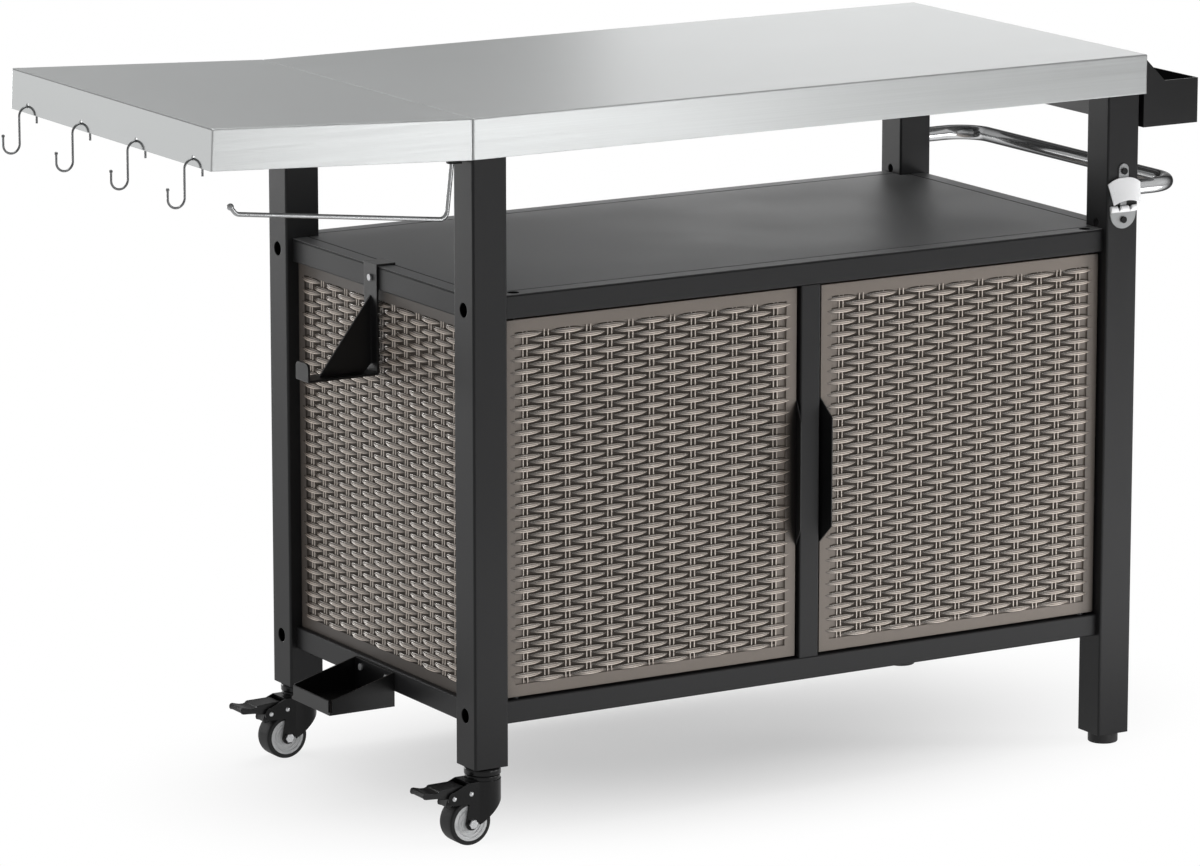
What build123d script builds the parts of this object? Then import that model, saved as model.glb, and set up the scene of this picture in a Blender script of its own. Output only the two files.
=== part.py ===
"""Kitchen cart: steel top with a side leaf, a wicker-pattern cabinet, casters and fittings.

Millimetres, +Z up, the front facing -Y. The origin is on the floor, under the middle of the
cart's bounding box, and every position below is worked out from the driving dimensions.
"""
import math
import os

from build123d import *

os.makedirs("parts", exist_ok=True)

# Top and leaf
top_width = 1037.0
top_depth = 565.0
total_height = 950.0
apron_height = 53.0
sheet = 1.2
fold_radius = 2.0
hem_width = 4.0
leaf_length = 368.0
leaf_rise = 2.8  # degrees, the leaf climbs away from the main top
stiffener_width = 60.0
stiffener_height = 22.0
stiffener_spacing = 320.0

# Frame
leg_size = 50.0
leg_wall = 2.0
leg_corner = 3.0
overhang_front = 7.0
overhang_back = 6.0
overhang_left = 3.0
overhang_right = 7.0
rail_size = 30.0
rail_wall = 1.5
rail_corner = 2.0
end_plate = 3.0
deck_level = 716.0
deck_sheet = 1.5
deck_groove_inset = 22.0
deck_groove_width = 3.0
deck_groove_depth = 0.5
lower_rail_level = 184.0
caster_leg_level = 101.0
foot_leg_level = 15.0
plug_height = 25.0
access_hole_radius = 9.5
inner_hole_radius = 6.0
inner_hole_above_deck = 6.0
bolt_radius = 4.0
bolt_head_radius = 6.5
bolt_head_height = 6.0
bolt_length = 14.0
hex_sides = 6
seam_bolt_radius = 3.0
seam_bolt_spacing = 175.0
seam_nut_radius = 5.0
seam_nut_height = 4.0

# Cabinet panels and doors
panel_recess = 8.0
panel_thickness = 12.0
panel_border = 16.0
weave_recess = 2.5
door_recess = 5.0
door_thickness = 16.0
door_skin = 6.0
door_rim = 14.0
door_gap_leg = 3.0
door_gap_post = 4.0
door_gap_level = 3.0
pin_from_leg = 21.0
pin_behind_face = 7.0
pin_radius = 4.0
pin_reach = 12.0
running_clearance = 0.05
washer_radius = 6.0
washer_height = 2.4
pin_hole_radius = 8.0
hinge_block_height = 30.0
pull_sheet = 1.5
pull_length = 195.0
pull_front_length = 146.0
pull_projection = 21.0
pull_lean = 6.0
pull_flange = 24.0
catch_length = 36.0
catch_depth = 15.0
catch_height = 14.0
catch_from_post = 24.0
strike_thickness = 1.5
strike_gap = 0.3

# Gas bottle hook and tray on the left side
bottle_offset = 7.5  # behind the middle of the top
hook_plate = 3.0
hook_width = 34.0
hook_reach = 102.0
hook_drop = 144.0  # from the deck to the underside of the arm
hook_lip = 25.0
hook_lip_corner = 8.0
hook_tab = 25.0
gusset_reach = 77.0
gusset_height = 101.0
gusset_relief = 11.0
tray_sheet = 2.0
tray_width = 105.0
tray_reach = 97.0
tray_below_rail = 4.0
tray_back_height = 46.0
tray_lip_height = 19.0
tray_relief = 4.0
tray_screw_spacing = 70.0

# Towel rod under the leaf
rod_radius = 3.0
rod_tilt = 6.5  # degrees
rod_length = 300.0
rod_drop = 76.0
rod_bend = 10.0
rod_tip_rise = 9.0
rod_from_seam = 12.5
rod_ball_radius = 4.5
clip_width = 22.0
clip_plate = 3.0
clip_below_apron = 17.0
clip_height = 50.0
clip_boss_radius = 6.0
clip_boss_height = 14.0

# Hooks on the leaf's end apron
s_hook_count = 4
s_hook_inset = 48.5
s_hook_wire = 1.5
s_hook_upper = 12.5
s_hook_lower = 11.7
s_hook_height = 62.5
s_hook_tail = 10.5
s_hook_tip = 12.0
s_hook_ball = 2.3
s_hook_hole = 3.0
s_hook_apex = 9.0  # above the apron's lower edge
s_hook_slack = 0.3

# Spice rack, push handle and bottle opener on the right
rack_sheet = 1.5
rack_width = 88.5
rack_below_top = 5.0
rack_outer_height = 61.0
rack_rise = 34.0
rack_shoulder = 34.0
rack_spacer_radius = 7.0
rack_screw_height = 22.0
handle_radius = 10.5
handle_wall = 1.5
handle_below_rack = 85.0
handle_bend = 45.0
handle_plug = 12.0
opener_plate = 2.0
opener_depth = 13.5
opener_below_apron = 93.0
opener_tab_width = 17.0
opener_tab_height = 25.0
opener_hood_height = 31.0
opener_hood_low = 32.0
opener_hood_width = 53.0
opener_mouth_width = 43.0
opener_round = 22.0
opener_tooth_width = 16.0
opener_tooth_depth = 6.0
opener_tab_hole = 10.0
opener_lower_hole = 12.0

# Screws for the fittings
screw_radius = 2.5
screw_head_radius = 4.5
screw_head_height = 2.5
screw_grip = 4.0

# Casters and feet
wheel_radius = 30.0
hub_radius = 24.0
tyre_width = 30.0
tyre_shoulder = 5.0
caster_offset = 26.0
cup_radius = 24.0
cup_height = 10.0
race_radius = 23.0
race_height = 6.6
race_gap = 0.4
skirt_radius = 24.0
skirt_front_level = 27.0
skirt_back_level = 60.0
fork_inside = 33.2
fork_plate = 2.4
fork_top_plate = 3.5
fork_nose = 30.0
fork_shoulder = 28.0
fork_boss = 9.0
housing_boss = 9.0
stem_radius = 6.0
stem_reach = 18.0
stem_head_radius = 9.0
stem_head_height = 3.0
groove_radius = 1.2
groove_ring_inner = 14.0
groove_ring_outer = 19.0
axle_radius = 4.0
axle_head = 6.5
axle_head_height = 5.5
rivet_radius = 3.0
rivet_head = 4.5
rivet_head_height = 1.6
rivet_ahead = 27.0
rivet_below = 14.5
pedal_width = 29.6
pedal_pivot_ahead = 52.0
pedal_pivot_below = 18.0
pedal_boss = 7.0
pedal_shoe = 6.0
brake_gap = 3.7
brake_angle = 139.0  # degrees, where the shoe faces the tyre
pedal_inner = 34.0
pedal_crown = 60.0
pedal_step = 64.0
pedal_reach = 105.0
pedal_below = 1.0
pedal_crown_rise = 3.0
pedal_tip_drop = 4.0
pedal_plate = 5.0
foot_radius = 20.5
foot_height = 14.6
foot_stem_radius = 5.0
foot_stem_reach = 22.0

# Reach of the cart to each side, which sets the origin
tilt = math.radians(leaf_rise)
leaf_end_drop = leaf_length * math.cos(tilt) + (apron_height - s_hook_apex) * math.sin(tilt)
apex_reach = leaf_end_drop - sheet / 2
reach_left = apex_reach + s_hook_upper + 2 * s_hook_lower + s_hook_ball
reach_right = top_width + rack_width
seam_x = (reach_left - reach_right) / 2
opener_past_apron = opener_depth - overhang_front
front_y = -(top_depth - opener_past_apron) / 2
back_y = front_y + top_depth
right_x = seam_x + top_width

# Main lines of the frame
leg_left = seam_x + overhang_left + leg_size / 2
leg_right = right_x - overhang_right - leg_size / 2
leg_front = front_y + overhang_front + leg_size / 2
leg_back = back_y - overhang_back - leg_size / 2
leg_top = total_height - sheet
apron_bottom = total_height - apron_height
mid_rail_z = deck_level - deck_sheet - rail_size / 2
low_rail_z = lower_rail_level - rail_size / 2
upper_rail_z = leg_top - rail_size / 2
bay_left = leg_left + leg_size / 2
bay_right = leg_right - leg_size / 2
bay_front = leg_front + leg_size / 2
bay_back = leg_back - leg_size / 2
post_x = (bay_left + bay_right) / 2
rail_front_face = leg_front - rail_size / 2
rail_left_face = leg_left - rail_size / 2
rail_right_face = leg_right + rail_size / 2
rail_back_face = leg_back + rail_size / 2
mid_rail_under = mid_rail_z - rail_size / 2
fitting_y = (front_y + back_y) / 2 + bottle_offset
rack_inner_top = total_height - rack_below_top
rack_outer_top = rack_inner_top - rack_rise
rack_bottom = rack_outer_top - rack_outer_height
rack_screw_level = rack_bottom + rack_screw_height
handle_level = rack_bottom - handle_below_rack
inner_hole_level = deck_level + inner_hole_above_deck


def save(builder, node):
    """Label a finished piece and write its file."""
    builder.part.label = node
    export_step(builder.part, f"parts/{node}.step")


# Legs: square tubes with access holes for the bolts that hold the long rails
def make_leg(node, x, y, foot_level, outward):
    with BuildPart() as leg:
        with BuildSketch(Plane.XY.offset(foot_level).move(Location((x, y, 0)))):
            RectangleRounded(leg_size, leg_size, leg_corner)
            inner = leg_size - 2 * leg_wall
            RectangleRounded(inner, inner, leg_corner - leg_wall, mode=Mode.SUBTRACT)
        extrude(amount=leg_top - foot_level)
        for level in (mid_rail_z, low_rail_z):
            with BuildSketch(Plane((x, y, level), x_dir=(0, 1, 0), z_dir=(outward, 0, 0))):
                Circle(access_hole_radius)
            extrude(amount=leg_size, mode=Mode.SUBTRACT)
            with BuildSketch(Plane((x, y, level), x_dir=(0, 1, 0), z_dir=(-outward, 0, 0))):
                Circle(bolt_radius)
            extrude(amount=leg_size, mode=Mode.SUBTRACT)
        if outward > 0:
            with BuildSketch(Plane((x, y, inner_hole_level), x_dir=(0, 1, 0), z_dir=(-1, 0, 0))):
                Circle(inner_hole_radius)
            extrude(amount=leg_size, mode=Mode.SUBTRACT)
            with BuildSketch(Plane((x, y, handle_level), x_dir=(0, 1, 0), z_dir=(1, 0, 0))):
                Circle(bolt_radius)
            extrude(amount=leg_size, mode=Mode.SUBTRACT)
    save(leg, node)


make_leg("leg_front_left", leg_left, leg_front, caster_leg_level, -1)
make_leg("leg_back_left", leg_left, leg_back, caster_leg_level, -1)
make_leg("leg_front_right", leg_right, leg_front, foot_leg_level, 1)
make_leg("leg_back_right", leg_right, leg_back, foot_leg_level, 1)


# Rails: square tubes, welded along the sides and bolted through end plates along the width
def side_rail(node, x, level):
    length = bay_back - bay_front
    with BuildPart() as rail:
        with BuildSketch(Plane((x, bay_front, level), x_dir=(1, 0, 0), z_dir=(0, 1, 0))):
            RectangleRounded(rail_size, rail_size, rail_corner)
            inner = rail_size - 2 * rail_wall
            RectangleRounded(inner, inner, rail_corner - rail_wall, mode=Mode.SUBTRACT)
        extrude(amount=length)
    save(rail, node)


def long_rail(node, y, level, pin_side=0):
    length = bay_right - bay_left
    with BuildPart() as rail:
        with BuildSketch(Plane((bay_left, y, level), x_dir=(0, 1, 0), z_dir=(1, 0, 0))):
            RectangleRounded(rail_size, rail_size, rail_corner)
        extrude(amount=length)
        with BuildSketch(Plane((bay_left + end_plate, y, level), x_dir=(0, 1, 0), z_dir=(1, 0, 0))):
            Rectangle(rail_size - 2 * rail_wall, rail_size - 2 * rail_wall)
        extrude(amount=length - 2 * end_plate, mode=Mode.SUBTRACT)
        with BuildSketch(Plane((bay_left, y, level), x_dir=(0, 1, 0), z_dir=(1, 0, 0))):
            Circle(bolt_radius)
        extrude(amount=length, mode=Mode.SUBTRACT)
        if pin_side:
            for x in (pin_left_x, pin_right_x):
                with BuildSketch(Plane.XY.offset(level).move(Location((x, pin_y, 0)))):
                    Circle(pin_radius)
                extrude(amount=-pin_side * rail_size, mode=Mode.SUBTRACT)
                if pin_side > 0:
                    with BuildSketch(Plane.XY.offset(level).move(Location((x, pin_y, 0)))):
                        Circle(pin_hole_radius)
                    extrude(amount=rail_size, mode=Mode.SUBTRACT)
    save(rail, node)


pin_left_x = bay_left + pin_from_leg
pin_right_x = bay_right - pin_from_leg
door_face_y = rail_front_face + door_recess
pin_y = door_face_y + pin_behind_face

side_rail("upper_rail_left", leg_left, upper_rail_z)
side_rail("upper_rail_right", leg_right, upper_rail_z)
side_rail("mid_rail_left", leg_left, mid_rail_z)
side_rail("mid_rail_right", leg_right, mid_rail_z)
side_rail("low_rail_left", leg_left, low_rail_z)
side_rail("low_rail_right", leg_right, low_rail_z)
long_rail("mid_rail_front", leg_front, mid_rail_z, pin_side=1)
long_rail("mid_rail_back", leg_back, mid_rail_z)
long_rail("low_rail_front", leg_front, low_rail_z, pin_side=-1)
long_rail("low_rail_back", leg_back, low_rail_z)

# Door post between the two front rails
with BuildPart() as door_post:
    with BuildSketch(Plane.XY.offset(lower_rail_level).move(Location((post_x, leg_front, 0)))):
        RectangleRounded(rail_size, rail_size, rail_corner)
        RectangleRounded(
            rail_size - 2 * rail_wall,
            rail_size - 2 * rail_wall,
            rail_corner - rail_wall,
            mode=Mode.SUBTRACT,
        )
    extrude(amount=mid_rail_under - lower_rail_level)
save(door_post, "door_post")

# Plugs that close the leg ends and hold the caster stems and the feet
with BuildPart() as leg_plugs:
    for x, level, bore in (
        (leg_left, caster_leg_level, stem_radius),
        (leg_right, foot_leg_level, foot_stem_radius + running_clearance),
    ):
        inner = leg_size - 2 * leg_wall
        for y in (leg_front, leg_back):
            with BuildSketch(Plane.XY.offset(level).move(Location((x, y, 0)))):
                RectangleRounded(inner, inner, leg_corner - leg_wall)
                Circle(bore, mode=Mode.SUBTRACT)
            extrude(amount=plug_height)
save(leg_plugs, "leg_plugs")

# Bolts through the legs into the rail ends, and into the push handle
with BuildPart() as frame_bolts:
    for x, outward in ((leg_left, -1), (leg_right, 1)):
        seat = x - outward * (leg_size / 2 - leg_wall)
        for y in (leg_front, leg_back):
            for level in (mid_rail_z, low_rail_z):
                with BuildSketch(Plane((seat, y, level), x_dir=(0, 1, 0), z_dir=(outward, 0, 0))):
                    RegularPolygon(bolt_head_radius, hex_sides)
                extrude(amount=bolt_head_height)
                with BuildSketch(Plane((seat, y, level), x_dir=(0, 1, 0), z_dir=(-outward, 0, 0))):
                    Circle(bolt_radius)
                extrude(amount=bolt_length)
    handle_seat = leg_right + leg_size / 2 - leg_wall
    for y in (leg_front, leg_back):
        with BuildSketch(Plane((handle_seat, y, handle_level), x_dir=(0, 1, 0), z_dir=(-1, 0, 0))):
            RegularPolygon(bolt_head_radius, hex_sides)
        extrude(amount=bolt_head_height)
        with BuildSketch(Plane((handle_seat, y, handle_level), x_dir=(0, 1, 0), z_dir=(1, 0, 0))):
            Circle(bolt_radius)
        extrude(amount=bolt_length)
save(frame_bolts, "frame_bolts")

# Places of the bolts that join the main top to the leaf
seam_bolt_level = apron_bottom + apron_height / 2
seam_bolt_places = [(bay_front + bay_back) / 2 + step * seam_bolt_spacing for step in (-1, 0, 1)]

# Main top: a folded pan, hemmed inward along its front, back and right aprons
with BuildPart() as main_top:
    centre = Location((seam_x + top_width / 2, front_y + top_depth / 2, 0))
    with BuildSketch(Plane.XY.offset(apron_bottom).move(centre)):
        Rectangle(top_width, top_depth)
    extrude(amount=apron_height)
    top_rim = main_top.faces().sort_by(Axis.Z)[-1].edges()
    corner_edges = main_top.edges().filter_by(Axis.Z)
    fillet(top_rim + corner_edges, fold_radius)
    with BuildSketch(Plane.XY.offset(apron_bottom + sheet).move(centre)):
        Rectangle(top_width - 2 * sheet, top_depth - 2 * sheet)
    extrude(amount=apron_height - 2 * sheet, mode=Mode.SUBTRACT)
    hem_centre = Location((seam_x + (top_width - hem_width) / 2, front_y + top_depth / 2, 0))
    with BuildSketch(Plane.XY.offset(apron_bottom).move(hem_centre)):
        Rectangle(top_width - 2 * sheet - hem_width, top_depth - 2 * (sheet + hem_width))
    extrude(amount=sheet, mode=Mode.SUBTRACT)
    for y in seam_bolt_places:
        with BuildSketch(Plane((seam_x, y, seam_bolt_level), x_dir=(0, 1, 0), z_dir=(1, 0, 0))):
            Circle(seam_bolt_radius)
        extrude(amount=2 * sheet, both=True, mode=Mode.SUBTRACT)
save(main_top, "main_top")

# Channels spot-welded under the main top
with BuildPart() as top_stiffeners:
    for side in (-1, 1):
        x = post_x + side * stiffener_spacing / 2
        with BuildSketch(Plane((x, front_y + sheet, leg_top), x_dir=(1, 0, 0), z_dir=(0, 1, 0))):
            with Locations((0, stiffener_height / 2)):
                Rectangle(stiffener_width, stiffener_height)
            with Locations((0, (stiffener_height - sheet) / 2)):
                Rectangle(
                    stiffener_width - 2 * sheet, stiffener_height - sheet, mode=Mode.SUBTRACT
                )
        extrude(amount=top_depth - 2 * sheet)
save(top_stiffeners, "top_stiffeners")

# Places of the hooks along the leaf's end
s_hook_pitch = (top_depth - 2 * s_hook_inset) / (s_hook_count - 1)
s_hook_places = [front_y + s_hook_inset + index * s_hook_pitch for index in range(s_hook_count)]

# Side leaf: a second pan that climbs a little from the seam to its free end
leaf_out = Vector(-math.cos(tilt), 0, math.sin(tilt))
leaf_down = Vector(-math.sin(tilt), 0, -math.cos(tilt))
seam_top = Vector(seam_x, 0, total_height)


def leaf_point(along, below):
    """Point of the leaf's section, measured along the leaf and square to it."""
    place = seam_top + leaf_out * along + leaf_down * below
    return (place.X, place.Z)


def seam_point(inward, below):
    """Point beside the seam, where the leaf's flange stands upright."""
    rise = inward * math.tan(tilt)
    return (seam_x - inward, total_height + rise - below / math.cos(tilt))


def leaf_section(seam_skin, end_skin, below, bottom):
    """Corners of the leaf's section, drawn in at both ends and cut at two depths."""
    return (
        seam_point(seam_skin, below),
        leaf_point(leaf_length - end_skin, below),
        leaf_point(leaf_length - end_skin, bottom),
        seam_point(seam_skin, bottom),
    )


section_plane = Plane((0, front_y, 0), x_dir=(1, 0, 0), z_dir=(0, -1, 0))
with BuildPart() as side_leaf:
    with BuildSketch(section_plane):
        Polygon(*leaf_section(0, 0, 0, apron_height), align=None)
    extrude(amount=-top_depth)
    leaf_edges = side_leaf.faces().sort_by(Axis.Z)[-1].edges()
    end_edges = side_leaf.faces().sort_by(Axis.X)[0].edges().filter_by(Axis.Y, reverse=True)
    seam_edges = side_leaf.edges().filter_by(Axis.Z)
    fillet(leaf_edges + end_edges + seam_edges, fold_radius)
    with BuildSketch(section_plane.offset(-sheet)):
        Polygon(*leaf_section(sheet, sheet, sheet, apron_height - sheet), align=None)
    extrude(amount=-(top_depth - 2 * sheet), mode=Mode.SUBTRACT)
    with BuildSketch(section_plane.offset(-sheet - hem_width)):
        open_end = sheet + hem_width
        Polygon(*leaf_section(sheet, open_end, apron_height / 2, 2 * apron_height), align=None)
    extrude(amount=-(top_depth - 2 * sheet - 2 * hem_width), mode=Mode.SUBTRACT)
    hole_below = apron_height - s_hook_apex - s_hook_hole + s_hook_wire + s_hook_slack
    hole_x, hole_z = leaf_point(leaf_length, hole_below)
    for y in s_hook_places:
        with BuildSketch(Plane((hole_x, y, hole_z), x_dir=(0, 1, 0), z_dir=tuple(-leaf_out))):
            Circle(s_hook_hole)
        extrude(amount=2 * hem_width, both=True, mode=Mode.SUBTRACT)
    for y in seam_bolt_places:
        with BuildSketch(Plane((seam_x, y, seam_bolt_level), x_dir=(0, 1, 0), z_dir=(1, 0, 0))):
            Circle(seam_bolt_radius)
        extrude(amount=2 * sheet, both=True, mode=Mode.SUBTRACT)
save(side_leaf, "side_leaf")

# Bolts through the two flanges at the seam
with BuildPart() as seam_bolts:
    for y in seam_bolt_places:
        head_plane = Plane((seam_x - sheet, y, seam_bolt_level), x_dir=(0, 1, 0), z_dir=(-1, 0, 0))
        with BuildSketch(head_plane):
            RegularPolygon(seam_nut_radius, hex_sides)
        extrude(amount=seam_nut_height)
        with BuildSketch(head_plane):
            Circle(seam_bolt_radius)
        extrude(amount=-2 * sheet - seam_nut_height)
        with BuildSketch(head_plane.offset(-2 * sheet)):
            RegularPolygon(seam_nut_radius, hex_sides)
        extrude(amount=-seam_nut_height)
save(seam_bolts, "seam_bolts")

# Deck: a sheet on the middle rails, notched round the legs, with a shallow groove inside its edge
with BuildPart() as deck:
    deck_x = (rail_left_face + rail_right_face) / 2
    deck_y = (rail_front_face + rail_back_face) / 2
    deck_width = rail_right_face - rail_left_face
    deck_depth = rail_back_face - rail_front_face
    deck_centre = Location((deck_x, deck_y, 0))
    with BuildSketch(Plane.XY.offset(deck_level - deck_sheet).move(deck_centre)):
        Rectangle(deck_width, deck_depth)
    extrude(amount=deck_sheet)
    with BuildSketch(Plane.XY.offset(deck_level).move(deck_centre)):
        groove_width = deck_width - 2 * deck_groove_inset
        groove_depth = deck_depth - 2 * deck_groove_inset
        Rectangle(groove_width, groove_depth)
        Rectangle(
            groove_width - 2 * deck_groove_width,
            groove_depth - 2 * deck_groove_width,
            mode=Mode.SUBTRACT,
        )
    extrude(amount=-deck_groove_depth, mode=Mode.SUBTRACT)
    for x in (leg_left, leg_right):
        for y in (leg_front, leg_back):
            with BuildSketch(Plane.XY.offset(deck_level - deck_sheet).move(Location((x, y, 0)))):
                Rectangle(leg_size, leg_size)
            extrude(amount=deck_sheet, mode=Mode.SUBTRACT)
    for x in (pin_left_x, pin_right_x):
        with BuildSketch(Plane.XY.offset(deck_level).move(Location((x, pin_y, 0)))):
            Circle(pin_hole_radius)
        extrude(amount=-deck_sheet, mode=Mode.SUBTRACT)
save(deck, "deck")

# Cabinet panels: flat borders round a sunk field that carries the wicker pattern
panel_bottom = lower_rail_level
panel_height = mid_rail_under - panel_bottom
panel_z = panel_bottom + panel_height / 2


def wicker_panel(node, face, width, fields):
    """Panel behind the given outer face plane, with one or two sunk fields."""
    with BuildPart() as panel:
        with BuildSketch(face):
            Rectangle(width, panel_height)
        extrude(amount=-panel_thickness)
        field_width = width / fields - 2 * panel_border
        with BuildSketch(face):
            with GridLocations(width / fields, panel_height, fields, 1):
                Rectangle(field_width, panel_height - 2 * panel_border)
        extrude(amount=-weave_recess, mode=Mode.SUBTRACT)
    save(panel, node)


side_width = bay_back - bay_front
side_y = (bay_front + bay_back) / 2
left_face_x = rail_left_face + panel_recess
right_face_x = rail_right_face - panel_recess
back_face_y = rail_back_face - panel_recess
left_face = Plane((left_face_x, side_y, panel_z), x_dir=(0, -1, 0), z_dir=(-1, 0, 0))
right_face = Plane((right_face_x, side_y, panel_z), x_dir=(0, 1, 0), z_dir=(1, 0, 0))
back_face = Plane((post_x, back_face_y, panel_z), x_dir=(-1, 0, 0), z_dir=(0, 1, 0))
wicker_panel("side_panel_left", left_face, side_width, 1)
wicker_panel("side_panel_right", right_face, side_width, 1)
wicker_panel("back_panel", back_face, bay_right - bay_left, 2)

# Cabinet floor on the lower rails, notched round the legs, behind the doors
floor_front = door_face_y + door_thickness + pull_sheet + strike_gap
with BuildPart() as cabinet_floor:
    floor_left = left_face_x + panel_thickness
    floor_right = right_face_x - panel_thickness
    floor_back = back_face_y - panel_thickness
    with BuildSketch(Plane.XY.offset(lower_rail_level)):
        with Locations(((floor_left + floor_right) / 2, (floor_front + floor_back) / 2)):
            Rectangle(floor_right - floor_left, floor_back - floor_front)
        with Locations((post_x, leg_front)):
            Rectangle(rail_size, rail_size, mode=Mode.SUBTRACT)
        for x in (leg_left, leg_right):
            with Locations((x, leg_front), (x, leg_back)):
                Rectangle(leg_size, leg_size, mode=Mode.SUBTRACT)
    extrude(amount=deck_sheet)
save(cabinet_floor, "cabinet_floor")

# Doors: moulded panels with a rim behind, turning on pins near their outer corners
door_bottom = lower_rail_level + door_gap_level
door_top = mid_rail_under - door_gap_level
door_height = door_top - door_bottom
door_width = post_x - rail_size / 2 - door_gap_post - bay_left - door_gap_leg
door_z = (door_bottom + door_top) / 2


def make_door(side, inward, pin_x):
    """Door whose free edge lies on the inward side of its pins."""
    outer_x = pin_x - inward * (pin_from_leg - door_gap_leg)
    door_x = outer_x + inward * door_width / 2
    face = Plane((door_x, door_face_y, door_z), x_dir=(1, 0, 0), z_dir=(0, -1, 0))
    with BuildPart() as door:
        with BuildSketch(face):
            Rectangle(door_width, door_height)
        extrude(amount=-door_thickness)
        with BuildSketch(face):
            Rectangle(door_width - 2 * panel_border, door_height - 2 * panel_border)
        extrude(amount=-weave_recess, mode=Mode.SUBTRACT)
        with BuildSketch(face.offset(-door_skin)):
            Rectangle(door_width - 2 * door_rim, door_height - 2 * door_rim)
            for end in (-1, 1):
                corner_x = outer_x + inward * pin_from_leg / 2 - door_x
                with Locations((corner_x, end * (door_height - hinge_block_height) / 2)):
                    Rectangle(2 * pin_from_leg, hinge_block_height, mode=Mode.SUBTRACT)
        extrude(amount=-door_thickness, mode=Mode.SUBTRACT)
        for end in (door_bottom, door_top):
            with BuildSketch(Plane.XY.offset(end).move(Location((pin_x, pin_y, 0)))):
                Circle(pin_radius + running_clearance)
            extrude(amount=math.copysign(pin_reach + strike_gap, door_z - end), mode=Mode.SUBTRACT)
    save(door, f"door_{side}")

    edge_x = outer_x + inward * door_width
    back_y_face = door_face_y + door_thickness
    with BuildPart() as pull:
        with BuildSketch(Plane.XY.offset(door_z - pull_length / 2)):
            with BuildLine():
                Polyline(
                    (edge_x - inward * pull_flange, back_y_face),
                    (edge_x, back_y_face),
                    (edge_x, door_face_y),
                    (edge_x - inward * pull_lean, door_face_y - pull_projection),
                    (edge_x - inward * (pull_lean - pull_sheet), door_face_y - pull_projection),
                    (edge_x + inward * pull_sheet, door_face_y),
                    (edge_x + inward * pull_sheet, back_y_face + pull_sheet),
                    (edge_x - inward * pull_flange, back_y_face + pull_sheet),
                    close=True,
                )
            make_face()
        extrude(amount=pull_length)
        taper = (pull_length - pull_front_length) / 2
        tip_y = door_face_y - pull_projection
        for end in (-1, 1):
            with BuildSketch(Plane.YZ.offset(edge_x)):
                end_z = door_z + end * pull_length / 2
                Polygon(
                    (door_face_y, end_z),
                    (tip_y, end_z - end * taper),
                    (tip_y - pull_sheet, end_z - end * taper),
                    (tip_y - pull_sheet, end_z + end),
                    (door_face_y, end_z + end),
                    align=None,
                )
            extrude(amount=2 * pull_lean, both=True, mode=Mode.SUBTRACT)
    save(pull, f"door_pull_{side}")

    strike_x = post_x - inward * (rail_size / 2 + catch_from_post + catch_length / 2)
    with BuildPart() as strike:
        strike_height = catch_height - door_gap_level
        strike_z = door_top - strike_height / 2
        with BuildSketch(Plane((strike_x, back_y_face, strike_z), x_dir=(1, 0, 0), z_dir=(0, 1, 0))):
            Rectangle(catch_length, strike_height)
        extrude(amount=strike_thickness)
    save(strike, f"strike_{side}")


make_door("left", 1, pin_left_x)
make_door("right", -1, pin_right_x)

# Hinge pins: the lower ones stand on washers, the upper ones hang from heads inside the rail
with BuildPart() as hinge_pins:
    low_start = lower_rail_level - rail_wall
    high_start = mid_rail_under + rail_wall
    for x in (pin_left_x, pin_right_x):
        place = Location((x, pin_y, 0))
        with BuildSketch(Plane.XY.offset(low_start).move(place)):
            Circle(pin_radius)
        extrude(amount=door_bottom + pin_reach - low_start)
        with BuildSketch(Plane.XY.offset(lower_rail_level).move(place)):
            Circle(washer_radius)
        extrude(amount=washer_height)
        with BuildSketch(Plane.XY.offset(high_start).move(place)):
            Circle(pin_radius)
        extrude(amount=-(high_start - door_top + pin_reach))
        with BuildSketch(Plane.XY.offset(high_start).move(place)):
            Circle(washer_radius)
        extrude(amount=screw_grip)
save(hinge_pins, "hinge_pins")

# Magnetic catches under the front rail, one behind each door's free corner
with BuildPart() as magnet_catches:
    catch_face = door_face_y + door_thickness + strike_thickness + strike_gap
    for side in (-1, 1):
        x = post_x + side * (rail_size / 2 + catch_from_post + catch_length / 2)
        plane = Plane.XY.offset(mid_rail_under)
        with BuildSketch(plane.move(Location((x, catch_face + catch_depth / 2, 0)))):
            Rectangle(catch_length, catch_depth)
        extrude(amount=-catch_height)
    fillet(magnet_catches.edges().filter_by(Axis.Z), rail_wall)
save(magnet_catches, "magnet_catches")

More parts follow.
